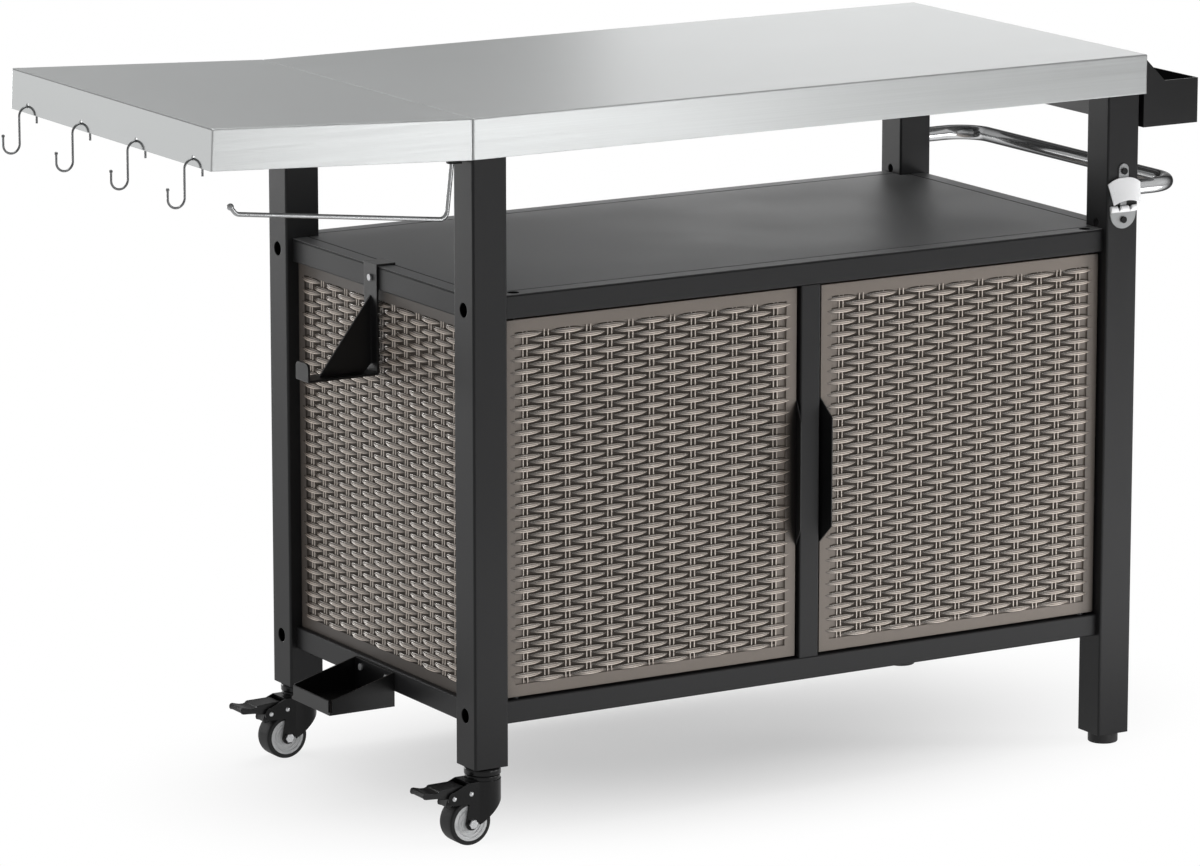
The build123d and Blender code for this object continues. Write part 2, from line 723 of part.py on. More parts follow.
# Gas bottle hook: a strap over the side rail, an arm with an upturned lip, and a gusset
strap_x = rail_left_face - hook_plate
hook_level = deck_level - hook_drop
with BuildPart() as bottle_hook:
    with BuildSketch(Plane((0, fitting_y + hook_width / 2, 0), x_dir=(1, 0, 0), z_dir=(0, -1, 0))):
        with BuildLine():
            Polyline(
                (rail_left_face + hook_tab, deck_level),
                (rail_left_face, deck_level),
                (rail_left_face, hook_level),
                (strap_x - hook_reach, hook_level),
                (strap_x - hook_reach, hook_level + hook_lip),
                (strap_x - hook_reach + hook_plate, hook_level + hook_lip),
                (strap_x - hook_reach + hook_plate, hook_level + hook_plate),
                (strap_x, hook_level + hook_plate),
                (strap_x, deck_level + hook_plate),
                (rail_left_face + hook_tab, deck_level + hook_plate),
                close=True,
            )
        make_face()
    extrude(amount=hook_width)
    lip_face = bottle_hook.faces().sort_by(Axis.X)[0]
    fillet(lip_face.edges().filter_by(Axis.Y).sort_by(Axis.Z)[:1], hook_plate - sheet)
    lip_top = hook_level + hook_lip
    lip_sides = bottle_hook.edges().filter_by(Axis.X).filter_by_position(Axis.Z, lip_top, lip_top)
    fillet(lip_sides, hook_lip_corner)
    with BuildSketch(Plane((0, fitting_y + hook_plate / 2, 0), x_dir=(1, 0, 0), z_dir=(0, -1, 0))):
        arm_top = hook_level + hook_plate
        Polygon(
            (strap_x - gusset_relief, arm_top),
            (strap_x - gusset_reach, arm_top),
            (strap_x, arm_top + gusset_height),
            (strap_x, arm_top + gusset_relief),
            align=None,
        )
    extrude(amount=hook_plate)
    with BuildSketch(Plane((strap_x, fitting_y, mid_rail_z), x_dir=(0, 1, 0), z_dir=(1, 0, 0))):
        Circle(screw_radius)
    extrude(amount=hook_plate, mode=Mode.SUBTRACT)
save(bottle_hook, "bottle_hook")

# Gas bottle tray: a folded sheet on the lower rail, its sides falling to a low front lip
tray_front_x = rail_left_face - tray_reach
tray_level = lower_rail_level - tray_below_rail - tray_back_height
with BuildPart() as bottle_tray:
    tray_top = tray_level + tray_back_height
    tray_lip_top = tray_level + tray_lip_height
    tray_plane = Plane((0, fitting_y + tray_width / 2, 0), x_dir=(1, 0, 0), z_dir=(0, -1, 0))
    with BuildSketch(tray_plane):
        Polygon(
            (rail_left_face, tray_level),
            (rail_left_face, tray_top),
            (tray_front_x, tray_lip_top),
            (tray_front_x, tray_level),
            align=None,
        )
    extrude(amount=tray_width)
    with BuildSketch(tray_plane.offset(tray_sheet)):
        Polygon(
            (rail_left_face - tray_sheet, tray_level + tray_sheet),
            (rail_left_face - tray_sheet, tray_top + tray_sheet),
            (tray_front_x + tray_sheet, tray_top + tray_sheet),
            (tray_front_x + tray_sheet, tray_level + tray_sheet),
            align=None,
        )
    extrude(amount=tray_width - 2 * tray_sheet, mode=Mode.SUBTRACT)
    for side in (-1, 1):
        corner_y = fitting_y + side * (tray_width / 2 - tray_relief / 2)
        corner_plane = Plane.XY.offset(tray_level + tray_relief)
        with BuildSketch(corner_plane.move(Location((tray_front_x, corner_y, 0)))):
            Rectangle(2 * tray_relief, tray_relief)
        extrude(amount=tray_lip_height, mode=Mode.SUBTRACT)
        with BuildSketch(Plane((rail_left_face, fitting_y + side * tray_screw_spacing / 2,
                                low_rail_z), x_dir=(0, 1, 0), z_dir=(-1, 0, 0))):
            Circle(screw_radius)
        extrude(amount=tray_sheet, mode=Mode.SUBTRACT)
save(bottle_tray, "bottle_tray")

# Towel rod: hangs from a clip at the seam and climbs towards its free end
clip_level = apron_bottom - clip_below_apron
rod_angle = math.radians(rod_tilt)
rod_out = Vector(-math.cos(rod_angle), 0, math.sin(rod_angle))
rod_down = Vector(-math.sin(rod_angle), 0, -math.cos(rod_angle))
rod_start = Vector(seam_x - rod_from_seam, leg_front, clip_level + clip_boss_height)
rod_corner = rod_start + rod_down * rod_drop
rod_knee = rod_corner + rod_out * rod_length
rod_tip = rod_knee + (rod_out - rod_down) * rod_tip_rise
with BuildPart() as towel_rod:
    with BuildLine():
        FilletPolyline(rod_start, rod_corner, rod_knee, rod_tip, radius=rod_bend)
    with BuildSketch(Plane(rod_start, x_dir=(0, 1, 0), z_dir=rod_down)):
        Circle(rod_radius)
    sweep()
    with Locations(rod_tip):
        Sphere(rod_ball_radius)
save(towel_rod, "towel_rod")

with BuildPart() as rod_clip:
    clip_x = seam_x - sheet - clip_plate / 2
    with BuildSketch(Plane.XY.offset(clip_level).move(Location((clip_x, leg_front, 0)))):
        Rectangle(clip_plate, clip_width)
    extrude(amount=clip_height)
    with BuildSketch(Plane(rod_start, x_dir=(0, 1, 0), z_dir=rod_down)):
        Circle(clip_boss_radius)
        with Locations((0, clip_boss_radius)):
            Rectangle(clip_boss_radius, 2 * clip_boss_radius)
    extrude(amount=clip_boss_height)
    with BuildSketch(Plane(rod_start, x_dir=(0, 1, 0), z_dir=rod_down)):
        Circle(rod_radius)
    extrude(amount=2 * clip_boss_height, both=True, mode=Mode.SUBTRACT)
    flange_face = seam_x - sheet
    with BuildSketch(Plane.XY.move(Location((flange_face + leg_size / 2, leg_front, 0)))):
        Rectangle(leg_size, leg_size)
    extrude(amount=total_height, mode=Mode.SUBTRACT)
save(rod_clip, "rod_clip")


# Hooks: bent wire with a ball on the tip, hanging through the holes of the leaf's end apron
apex_x, apex_z = leaf_point(leaf_length - sheet / 2, apron_height - s_hook_apex)


def make_s_hook(node, y):
    shank_x = apex_x - s_hook_upper
    tip_x = shank_x - 2 * s_hook_lower
    upper_z = apex_z - s_hook_upper
    lower_z = apex_z + s_hook_wire - s_hook_height + s_hook_wire + s_hook_lower
    tail = (apex_x + s_hook_upper, y, upper_z - s_hook_tail)
    with BuildPart() as hook:
        with BuildLine():
            Line(tail, (apex_x + s_hook_upper, y, upper_z))
            ThreePointArc(
                (apex_x + s_hook_upper, y, upper_z), (apex_x, y, apex_z), (shank_x, y, upper_z)
            )
            Line((shank_x, y, upper_z), (shank_x, y, lower_z))
            ThreePointArc(
                (shank_x, y, lower_z),
                (shank_x - s_hook_lower, y, lower_z - s_hook_lower),
                (tip_x, y, lower_z),
            )
            Line((tip_x, y, lower_z), (tip_x, y, lower_z + s_hook_tip))
        with BuildSketch(Plane.XY.offset(upper_z - s_hook_tail).move(Location((tail[0], y, 0)))):
            Circle(s_hook_wire)
        sweep()
        with Locations((tip_x, y, lower_z + s_hook_tip)):
            Sphere(s_hook_ball)
    save(hook, node)


for number, hook_y in enumerate(s_hook_places, start=1):
    make_s_hook(f"s_hook_{number}", hook_y)

# Spice rack: an open trough along the right end, its end walls cut away towards the outside
rack_front = leg_front - leg_size / 2
rack_back = leg_back + leg_size / 2
with BuildPart() as spice_rack:
    rack_plane = Plane((0, rack_front, 0), x_dir=(1, 0, 0), z_dir=(0, -1, 0))
    with BuildSketch(rack_plane):
        Polygon(
            (right_x, rack_bottom),
            (right_x + rack_width, rack_bottom),
            (right_x + rack_width, rack_outer_top),
            (right_x + rack_shoulder, rack_outer_top),
            (right_x, rack_inner_top),
            align=None,
        )
    extrude(amount=-(rack_back - rack_front))
    with BuildSketch(rack_plane.offset(-rack_sheet)):
        Polygon(
            (right_x + rack_sheet, rack_bottom + rack_sheet),
            (right_x + rack_width - rack_sheet, rack_bottom + rack_sheet),
            (right_x + rack_width - rack_sheet, rack_inner_top + rack_sheet),
            (right_x + rack_sheet, rack_inner_top + rack_sheet),
            align=None,
        )
    extrude(amount=-(rack_back - rack_front - 2 * rack_sheet), mode=Mode.SUBTRACT)
    for y in (leg_front, leg_back):
        with BuildSketch(Plane((right_x, y, rack_screw_level), x_dir=(0, 1, 0), z_dir=(1, 0, 0))):
            Circle(screw_radius)
        extrude(amount=rack_sheet, mode=Mode.SUBTRACT)
save(spice_rack, "spice_rack")

# Push handle: a bent tube between the right legs, plugged at its ends for the bolts
leg_right_face = leg_right + leg_size / 2
handle_x = right_x + rack_width - handle_radius
with BuildPart() as push_handle:
    with BuildLine():
        FilletPolyline(
            (leg_right_face, leg_front, handle_level),
            (handle_x, leg_front, handle_level),
            (handle_x, leg_back, handle_level),
            (leg_right_face, leg_back, handle_level),
            radius=handle_bend,
        )
    handle_start = Plane((leg_right_face, leg_front, handle_level), x_dir=(0, 1, 0), z_dir=(1, 0, 0))
    with BuildSketch(handle_start):
        Circle(handle_radius)
        Circle(handle_radius - handle_wall, mode=Mode.SUBTRACT)
    sweep()
    for y in (leg_front, leg_back):
        plane = Plane((leg_right_face, y, handle_level), x_dir=(0, 1, 0), z_dir=(1, 0, 0))
        with BuildSketch(plane):
            Circle(handle_radius - handle_wall)
            Circle(bolt_radius, mode=Mode.SUBTRACT)
        extrude(amount=handle_plug)
save(push_handle, "push_handle")

# Bottle opener: a plate on the leg with a hood that is open below, over a tooth
opener_y = leg_front - leg_size / 2
opener_top = apron_bottom - opener_below_apron
opener_hood_top = opener_top - opener_tab_height
opener_hood_bottom = opener_hood_top - opener_hood_height
opener_bottom = opener_hood_bottom - opener_hood_low
opener_screw_upper = opener_top - opener_tab_hole
opener_screw_lower = opener_bottom + opener_lower_hole
with BuildPart() as bottle_opener:
    opener_face = Plane((leg_right, opener_y, 0), x_dir=(1, 0, 0), z_dir=(0, -1, 0))
    with BuildSketch(opener_face):
        with Locations((0, (opener_top + opener_hood_bottom) / 2)):
            RectangleRounded(
                opener_tab_width, opener_top - opener_hood_bottom, opener_tab_width / 2 - screw_radius
            )
        with Locations((0, opener_bottom + opener_round)):
            Circle(opener_round)
        lower_edge = opener_bottom + opener_round
        Polygon(
            (-opener_mouth_width / 2, lower_edge),
            (opener_mouth_width / 2, lower_edge),
            (opener_hood_width / 2, opener_hood_top),
            (-opener_hood_width / 2, opener_hood_top),
            align=None,
        )
        with Locations((0, opener_screw_upper), (0, opener_screw_lower)):
            Circle(screw_radius, mode=Mode.SUBTRACT)
    extrude(amount=opener_plate)
    hood_corners = (
        (-opener_mouth_width / 2, opener_hood_bottom),
        (opener_mouth_width / 2, opener_hood_bottom),
        (opener_hood_width / 2, opener_hood_top),
        (-opener_hood_width / 2, opener_hood_top),
    )
    with BuildSketch(opener_face):
        Polygon(*hood_corners, align=None)
    extrude(amount=opener_depth)
    front_face = bottle_opener.faces().sort_by(Axis.Y)[0]
    fillet(front_face.edges().sort_by(Axis.Z)[-1:], opener_depth / 2)
    with BuildSketch(opener_face.offset(opener_plate)):
        skin = opener_plate
        Polygon(
            (-opener_mouth_width / 2 + skin, opener_hood_bottom - skin),
            (opener_mouth_width / 2 - skin, opener_hood_bottom - skin),
            (opener_hood_width / 2 - skin, opener_hood_top - 2 * skin),
            (-opener_hood_width / 2 + skin, opener_hood_top - 2 * skin),
            align=None,
        )
    extrude(amount=opener_depth - 2 * opener_plate, mode=Mode.SUBTRACT)
    with BuildSketch(opener_face.offset(opener_plate)):
        with Locations((0, opener_hood_bottom)):
            Rectangle(opener_tooth_width, opener_tooth_depth)
    extrude(amount=opener_tooth_depth)
save(bottle_opener, "bottle_opener")

# Screws that hold the hook, tray, rack and opener, with spacers between the rack and the legs
tray_seat = rail_left_face - tray_sheet
screw_places = [
    ((strap_x, fitting_y, mid_rail_z), (-1, 0, 0), hook_plate),
    ((tray_seat, fitting_y - tray_screw_spacing / 2, low_rail_z), (-1, 0, 0), tray_sheet),
    ((tray_seat, fitting_y + tray_screw_spacing / 2, low_rail_z), (-1, 0, 0), tray_sheet),
    ((right_x + rack_sheet, leg_front, rack_screw_level), (1, 0, 0), rack_sheet + overhang_right),
    ((right_x + rack_sheet, leg_back, rack_screw_level), (1, 0, 0), rack_sheet + overhang_right),
    ((leg_right, opener_y - opener_plate, opener_screw_upper), (0, -1, 0), opener_plate),
    ((leg_right, opener_y - opener_plate, opener_screw_lower), (0, -1, 0), opener_plate),
]
with BuildPart() as fitting_screws:
    for place, outward, grip in screw_places:
        plane = Plane(place, z_dir=outward)
        with BuildSketch(plane):
            Circle(screw_head_radius)
        extrude(amount=screw_head_height)
        with BuildSketch(plane):
            Circle(screw_radius)
        extrude(amount=-grip)
    for y in (leg_front, leg_back):
        spacer_plane = Plane((right_x, y, rack_screw_level), x_dir=(0, 1, 0), z_dir=(-1, 0, 0))
        with BuildSketch(spacer_plane):
            Circle(rack_spacer_radius)
        extrude(amount=overhang_right)
save(fitting_screws, "fitting_screws")


# Casters: a fixed stem and cup, a turning fork, a wheel, and a brake pedal that points outward
cup_bottom = caster_leg_level - cup_height
race_top = cup_bottom - race_gap
fork_top = race_top - race_height
plate_under = fork_top - fork_top_plate
pedal_pivot_level = fork_top - pedal_pivot_below
rivet_level = fork_top - rivet_below
pedal_top = fork_top - pedal_below
shoe_reach = wheel_radius + pedal_shoe + brake_gap
shoe_ahead = caster_offset - shoe_reach * math.cos(math.radians(brake_angle))
shoe_level = wheel_radius + shoe_reach * math.sin(math.radians(brake_angle))


def caster_plane(x, y, across):
    """Upright plane through a caster, set off by a distance across the wheel."""
    return Plane((x, y + across, 0), x_dir=(1, 0, 0), z_dir=(0, -1, 0))


def make_caster(name, x, y):
    with BuildPart() as stem:
        with BuildSketch(Plane((x, y, 0), x_dir=(1, 0, 0), z_dir=(0, -1, 0))):
            head_top = plate_under - strike_gap
            cup_waist = (cup_bottom + caster_leg_level) / 2
            with BuildLine():
                Polyline(
                    (0, head_top - stem_head_height),
                    (stem_head_radius, head_top - stem_head_height),
                    (stem_head_radius, head_top),
                    (stem_radius, head_top),
                    (stem_radius, cup_bottom),
                    (cup_radius, cup_bottom),
                    (cup_radius, cup_waist),
                )
                cup_round = cup_waist - cup_bottom
                CenterArc((cup_radius - cup_round, cup_waist), cup_round, 0, 90)
                Polyline(
                    (cup_radius - cup_round, caster_leg_level),
                    (stem_radius, caster_leg_level),
                    (stem_radius, caster_leg_level + stem_reach),
                    (0, caster_leg_level + stem_reach),
                    (0, head_top - stem_head_height),
                )
            make_face()
        revolve(axis=Axis((x, y, 0), (0, 0, 1)))
    save(stem, f"{name}_stem")

    half_inside = fork_inside / 2
    half_outside = half_inside + fork_plate
    cowl_level = fork_top - fork_shoulder
    pivot = (-pedal_pivot_ahead, pedal_pivot_level)
    rivet = (-rivet_ahead, rivet_level)
    crease = math.sqrt(skirt_radius**2 - half_outside**2)
    with BuildPart() as fork:
        with BuildSketch(Plane.XY.offset(fork_top).move(Location((x, y, 0)))):
            Circle(skirt_radius)
        extrude(amount=-(fork_top - skirt_front_level))
        with BuildSketch(Plane.XY.offset(plate_under).move(Location((x, y, 0)))):
            Circle(skirt_radius - fork_plate)
        extrude(amount=-plate_under, mode=Mode.SUBTRACT)
        with BuildSketch(caster_plane(x, y, 0)):
            Polygon(
                (-2 * skirt_radius, 0),
                (2 * skirt_radius, 0),
                (2 * skirt_radius, skirt_back_level),
                (skirt_radius, skirt_back_level),
                (-crease, skirt_front_level),
                (-crease, plate_under),
                (-2 * skirt_radius, plate_under),
                align=None,
            )
        extrude(amount=2 * skirt_radius, both=True, mode=Mode.SUBTRACT)
        for side in (-1, 1):
            inner_face = caster_plane(x, y, side * half_inside)
            with BuildSketch(inner_face):
                Polygon(
                    (-fork_nose, fork_top),
                    (fork_plate - crease, fork_top),
                    (fork_plate - crease, wheel_radius),
                    (-fork_boss - caster_offset, wheel_radius),
                    (-fork_nose, cowl_level),
                    align=None,
                )
                with Locations((-caster_offset, wheel_radius)):
                    Circle(fork_boss)
                Polygon(
                    (-fork_nose, fork_top),
                    (-pedal_pivot_ahead, pedal_pivot_level + housing_boss),
                    (-pedal_pivot_ahead, pedal_pivot_level - housing_boss),
                    (-fork_nose, cowl_level),
                    align=None,
                )
                with Locations(pivot):
                    Circle(housing_boss)
            extrude(amount=-side * fork_plate)
            with BuildSketch(inner_face):
                with Locations((-caster_offset, wheel_radius)):
                    Circle(axle_radius)
                with Locations(pivot, rivet):
                    Circle(rivet_radius)
            extrude(amount=-side * fork_plate, mode=Mode.SUBTRACT)
        with BuildSketch(Plane.XY.offset(fork_top).move(Location((x, y, 0)))):
            with Locations((-fork_nose / 2, 0)):
                Rectangle(fork_nose, 2 * half_outside)
        extrude(amount=-fork_top_plate)
        with BuildSketch(Plane.XY.offset(race_top).move(Location((x, y, 0)))):
            Circle(race_radius)
        extrude(amount=-(race_top - plate_under))
        fillet(fork.edges().filter_by(GeomType.CIRCLE).sort_by(Axis.Z)[-1:], fork_plate)
        with BuildSketch(Plane.XY.offset(race_top).move(Location((x, y, 0)))):
            Circle(stem_radius + running_clearance)
        extrude(amount=-(race_top - plate_under), mode=Mode.SUBTRACT)
    save(fork, f"{name}_fork")

    with BuildPart() as pins:
        near_face = caster_plane(x, y, -half_outside)
        with BuildSketch(near_face):
            with Locations((-caster_offset, wheel_radius)):
                RegularPolygon(axle_head, hex_sides)
        extrude(amount=axle_head_height)
        with BuildSketch(near_face):
            with Locations((-caster_offset, wheel_radius)):
                Circle(axle_radius)
        extrude(amount=-2 * half_outside)
        with BuildSketch(near_face.offset(-2 * half_outside)):
            with Locations((-caster_offset, wheel_radius)):
                RegularPolygon(axle_head, hex_sides)
        extrude(amount=-axle_head_height)
        for place in (pivot, rivet):
            with BuildSketch(near_face.offset(rivet_head_height)):
                with Locations(place):
                    Circle(rivet_radius)
            extrude(amount=-2 * (half_outside + rivet_head_height))
            with BuildSketch(near_face):
                with Locations(place):
                    Circle(rivet_head)
            extrude(amount=rivet_head_height)
            with BuildSketch(near_face.offset(-2 * half_outside)):
                with Locations(place):
                    Circle(rivet_head)
            extrude(amount=-rivet_head_height)
    save(pins, f"{name}_pins")

    axle = Axis((x - caster_offset, y, wheel_radius), (0, 1, 0))
    section = Plane((x - caster_offset, y, wheel_radius), x_dir=(0, 1, 0), z_dir=(1, 0, 0))
    half_tyre = tyre_width / 2
    with BuildPart() as hub:
        with BuildSketch(section):
            bore = axle_radius + running_clearance
            with Locations((0, (bore + hub_radius) / 2)):
                Rectangle(tyre_width, hub_radius - bore)
            for side in (-half_tyre, half_tyre):
                with Locations((side, groove_ring_inner), (side, groove_ring_outer)):
                    Circle(groove_radius, mode=Mode.SUBTRACT)
        revolve(axis=axle)
    save(hub, f"{name}_hub")
    with BuildPart() as tyre:
        with BuildSketch(section):
            with Locations((0, (hub_radius + wheel_radius) / 2)):
                Rectangle(tyre_width, wheel_radius - hub_radius)
        revolve(axis=axle)
        shoulders = tyre.edges().filter_by(GeomType.CIRCLE).sort_by(SortBy.RADIUS)[-2:]
        fillet(shoulders, tyre_shoulder)
    save(tyre, f"{name}_tyre")

    pedal_face = caster_plane(x, y, -pedal_width / 2)
    with BuildPart() as pedal:
        with BuildSketch(pedal_face):
            lever_under = pedal_top - pedal_plate
            tip_top = pedal_top - pedal_tip_drop
            Polygon(
                (-pedal_inner, lever_under),
                (-pedal_inner, pedal_top),
                (-pedal_crown, pedal_top + pedal_crown_rise),
                (-pedal_step, pedal_top),
                (-pedal_reach, tip_top),
                (-pedal_reach, tip_top - pedal_plate / 2),
                (-pedal_step, lever_under - pedal_plate / 2),
                align=None,
            )
        extrude(amount=-pedal_width)
        with BuildSketch(pedal_face):
            Polygon(
                (-pedal_pivot_ahead - pedal_boss, lever_under),
                (-pedal_pivot_ahead + pedal_boss, lever_under),
                (-pedal_pivot_ahead + pedal_boss, pedal_pivot_level),
                (-shoe_ahead + pedal_shoe, shoe_level),
                (-shoe_ahead - pedal_shoe, shoe_level),
                (-pedal_pivot_ahead - pedal_boss, pedal_pivot_level),
                align=None,
            )
            with Locations(pivot):
                Circle(pedal_boss)
            with Locations((-shoe_ahead, shoe_level)):
                Circle(pedal_shoe)
        extrude(amount=-pedal_width)
        with BuildSketch(pedal_face):
            with Locations(pivot):
                Circle(rivet_radius + running_clearance)
        extrude(amount=-pedal_width, mode=Mode.SUBTRACT)
    save(pedal, f"{name}_pedal")


make_caster("caster_front", leg_left, leg_front)
make_caster("caster_back", leg_left, leg_back)


# Feet under the right legs, on stems that screw into the plugs
def make_foot(node, y):
    with BuildPart() as foot:
        with BuildSketch(Plane.XY.move(Location((leg_right, y, 0)))):
            Circle(foot_radius)
        extrude(amount=foot_height)
        fillet(foot.edges().filter_by(GeomType.CIRCLE), leg_wall)
        with BuildSketch(Plane.XY.offset(foot_height).move(Location((leg_right, y, 0)))):
            Circle(foot_stem_radius)
        extrude(amount=foot_stem_reach)
    save(foot, node)


make_foot("foot_front", leg_front)
make_foot("foot_back", leg_back)
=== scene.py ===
import math

import bpy
import numpy as np
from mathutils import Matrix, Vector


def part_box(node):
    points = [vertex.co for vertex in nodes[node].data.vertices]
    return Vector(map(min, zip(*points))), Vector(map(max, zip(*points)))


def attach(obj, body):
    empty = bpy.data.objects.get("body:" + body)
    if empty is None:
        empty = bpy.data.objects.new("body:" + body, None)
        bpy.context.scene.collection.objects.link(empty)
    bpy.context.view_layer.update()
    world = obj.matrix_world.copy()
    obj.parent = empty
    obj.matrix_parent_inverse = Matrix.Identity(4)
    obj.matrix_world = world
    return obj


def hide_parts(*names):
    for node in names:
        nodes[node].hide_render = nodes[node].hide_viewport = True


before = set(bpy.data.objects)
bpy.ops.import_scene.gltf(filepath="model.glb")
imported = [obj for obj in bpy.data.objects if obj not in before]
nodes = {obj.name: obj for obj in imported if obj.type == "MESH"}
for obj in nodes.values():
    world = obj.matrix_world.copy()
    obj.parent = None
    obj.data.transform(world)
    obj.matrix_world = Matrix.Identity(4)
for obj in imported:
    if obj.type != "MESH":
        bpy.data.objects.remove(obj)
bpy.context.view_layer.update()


# ---------------------------------------------------------------- frame
# Four legs of 50 mm square steel tube, bolted to mid and lower rails, with a
# post between the doors. All of it has one coat of fine charcoal powder paint.

def linear(red, green, blue):
    """A colour as a paint chart gives it, 0 to 255, turned into the linear light that a shader takes."""
    chart = np.array([red, green, blue]) / 255.0
    light = np.where(chart <= 0.04045, chart / 12.92, ((chart + 0.055) / 1.055) ** 2.4)
    return (*light.tolist(), 1.0)


def new_group(name, inputs, outputs):
    """An empty shader group with float inputs (name, default) and float outputs (name)."""
    group = bpy.data.node_groups.new(name, "ShaderNodeTree")
    for label, default in inputs:
        socket = group.interface.new_socket(label, in_out="INPUT", socket_type="NodeSocketFloat")
        socket.default_value = default
    for label in outputs:
        group.interface.new_socket(label, in_out="OUTPUT", socket_type="NodeSocketFloat")
    return group, group.nodes.new("NodeGroupInput"), group.nodes.new("NodeGroupOutput")


def add_math(tree, operation, second=None, third=None):
    """A Math node of one operation; its second and third numbers are set where they are given."""
    made = tree.nodes.new("ShaderNodeMath")
    made.operation = operation
    for place, number in ((1, second), (2, third)):
        if number is not None:
            made.inputs[place].default_value = number
    return made


def add_range(tree, taken=(0.0, 1.0), given=(0.0, 1.0), eased=False):
    """A Map Range node from the range taken to the range given, straight or eased at both ends."""
    made = tree.nodes.new("ShaderNodeMapRange")
    made.interpolation_type = "SMOOTHSTEP" if eased else "LINEAR"
    for label, number in zip(("From Min", "From Max", "To Min", "To Max"), (*taken, *given)):
        made.inputs[label].default_value = number
    return made


# Sockets of a Mix node by number, since its modes share their names.
number_a, number_b, number_out = 2, 3, 0
colour_a, colour_b, colour_out = 6, 7, 2


def add_colour_mix(tree, first=None, second=None):
    """A Mix node for two colours, which are set where they are given."""
    made = tree.nodes.new("ShaderNodeMix")
    made.data_type = "RGBA"
    for socket, colour in ((colour_a, first), (colour_b, second)):
        if colour is not None:
            made.inputs[socket].default_value = colour
    return made


def wire(tree, *pairs):
    """Links each pair of an output and an input socket."""
    for source, target in pairs:
        tree.links.new(source, target)


# Powder grain: two sizes of soft cell noise, one for the orange peel and one for
# slow changes of gloss, as a tone mask, a roughness and a height.
powder, given, wanted = new_group(
    "powder_grain",
    [("Peel Scale", 900.0), ("Cloud Scale", 6.0), ("Rough Low", 0.4), ("Rough High", 0.5)],
    ["Tone", "Rough", "Height"])
place = powder.nodes.new("ShaderNodeTexCoord")
peel = powder.nodes.new("ShaderNodeTexNoise")
peel.inputs["Detail"].default_value = 2.0
cloud = powder.nodes.new("ShaderNodeTexNoise")
cloud.inputs["Detail"].default_value = 4.0
half = add_math(powder, "MULTIPLY", 0.5)
mixed = add_math(powder, "MULTIPLY_ADD", 0.5)
spread = add_range(powder, taken=(0.3, 0.7))
wire(powder,
     (place.outputs["Object"], peel.inputs["Vector"]),
     (given.outputs["Peel Scale"], peel.inputs["Scale"]),
     (place.outputs["Object"], cloud.inputs["Vector"]),
     (given.outputs["Cloud Scale"], cloud.inputs["Scale"]),
     (cloud.outputs["Fac"], half.inputs[0]),
     (peel.outputs["Fac"], mixed.inputs[0]),
     (half.outputs[0], mixed.inputs[2]),
     (mixed.outputs[0], spread.inputs["Value"]),
     (given.outputs["Rough Low"], spread.inputs["To Min"]),
     (given.outputs["Rough High"], spread.inputs["To Max"]),
     (mixed.outputs[0], wanted.inputs["Tone"]),
     (spread.outputs[0], wanted.inputs["Rough"]),
     (peel.outputs["Fac"], wanted.inputs["Height"]))


def new_finish(name):
    """A new material, with its node tree and its shader."""
    made = bpy.data.materials.new(name)
    made.use_nodes = True
    return made, made.node_tree, made.node_tree.nodes["Principled BSDF"]


def grained(name, group, values, dark, light, bump, depth, edge):
    """A finish whose colour runs between two tones by the Tone of a grain group.

    The group, with its values, also gives the roughness and a relief of depth metres
    times bump. edge is the radius in metres to which a sharp corner is softened."""
    made, tree, shader = new_finish(name)
    grain = tree.nodes.new("ShaderNodeGroup")
    grain.node_tree = group
    for label, value in values.items():
        grain.inputs[label].default_value = value
    tint = add_colour_mix(tree, dark, light)
    soften = tree.nodes.new("ShaderNodeBevel")
    soften.samples = 6
    soften.inputs["Radius"].default_value = edge
    raised = tree.nodes.new("ShaderNodeBump")
    raised.inputs["Strength"].default_value = bump
    raised.inputs["Distance"].default_value = depth
    wire(tree,
         (grain.outputs["Tone"], tint.inputs[0]),
         (tint.outputs[colour_out], shader.inputs["Base Color"]),
         (grain.outputs["Rough"], shader.inputs["Roughness"]),
         (soften.outputs["Normal"], raised.inputs["Normal"]),
         (grain.outputs["Height"], raised.inputs["Height"]),
         (raised.outputs["Normal"], shader.inputs["Normal"]))
    return made, tree, shader


def coated(name, dark, light, rough, peel_scale, cloud_scale, bump, metallic=0.0, specular=0.5, edge=0.0008):
    """A finish of two tones with the powder grain, from paint to plating; rough is a range."""
    values = {"Peel Scale": peel_scale, "Cloud Scale": cloud_scale, "Rough Low": rough[0], "Rough High": rough[1]}
    made, _, shader = grained(name, powder, values, dark, light, bump, 0.0002, edge)
    shader.inputs["Metallic"].default_value = metallic
    shader.inputs["Specular IOR Level"].default_value = specular
    return made


def dress(finish, *names):
    """Gives the finish to each named CAD node, in every material slot it has."""
    for name in names:
        mesh = nodes[name].data
        mesh.materials.clear()
        mesh.materials.append(finish)


charcoal_coat = coated("charcoal_coat", linear(19, 19, 20), linear(37, 37, 38),
                       (0.36, 0.46), 900.0, 6.0, 0.25, specular=0.26, edge=0.0015)
dress(charcoal_coat, "leg_front_left", "leg_front_right", "leg_back_left", "leg_back_right",
      "mid_rail_front", "mid_rail_back", "mid_rail_left", "mid_rail_right",
      "low_rail_front", "low_rail_back", "low_rail_left", "low_rail_right",
      "upper_rail_left", "upper_rail_right", "door_post")

# Plugs that close the leg ends, pressed in; moulded in a soft black plastic.
moulded_black = coated("moulded_black", linear(14, 14, 15), linear(26, 26, 27),
                       (0.42, 0.55), 1400.0, 9.0, 0.2, specular=0.4)
dress(moulded_black, "leg_plugs")

# Frame, seam and fitting bolts: zinc-plated, a little uneven in gloss.
zinc = coated("zinc_plate", linear(176, 178, 180), linear(214, 215, 216),
              (0.22, 0.36), 1600.0, 40.0, 0.1, metallic=1.0)
dress(zinc, "frame_bolts", "seam_bolts")


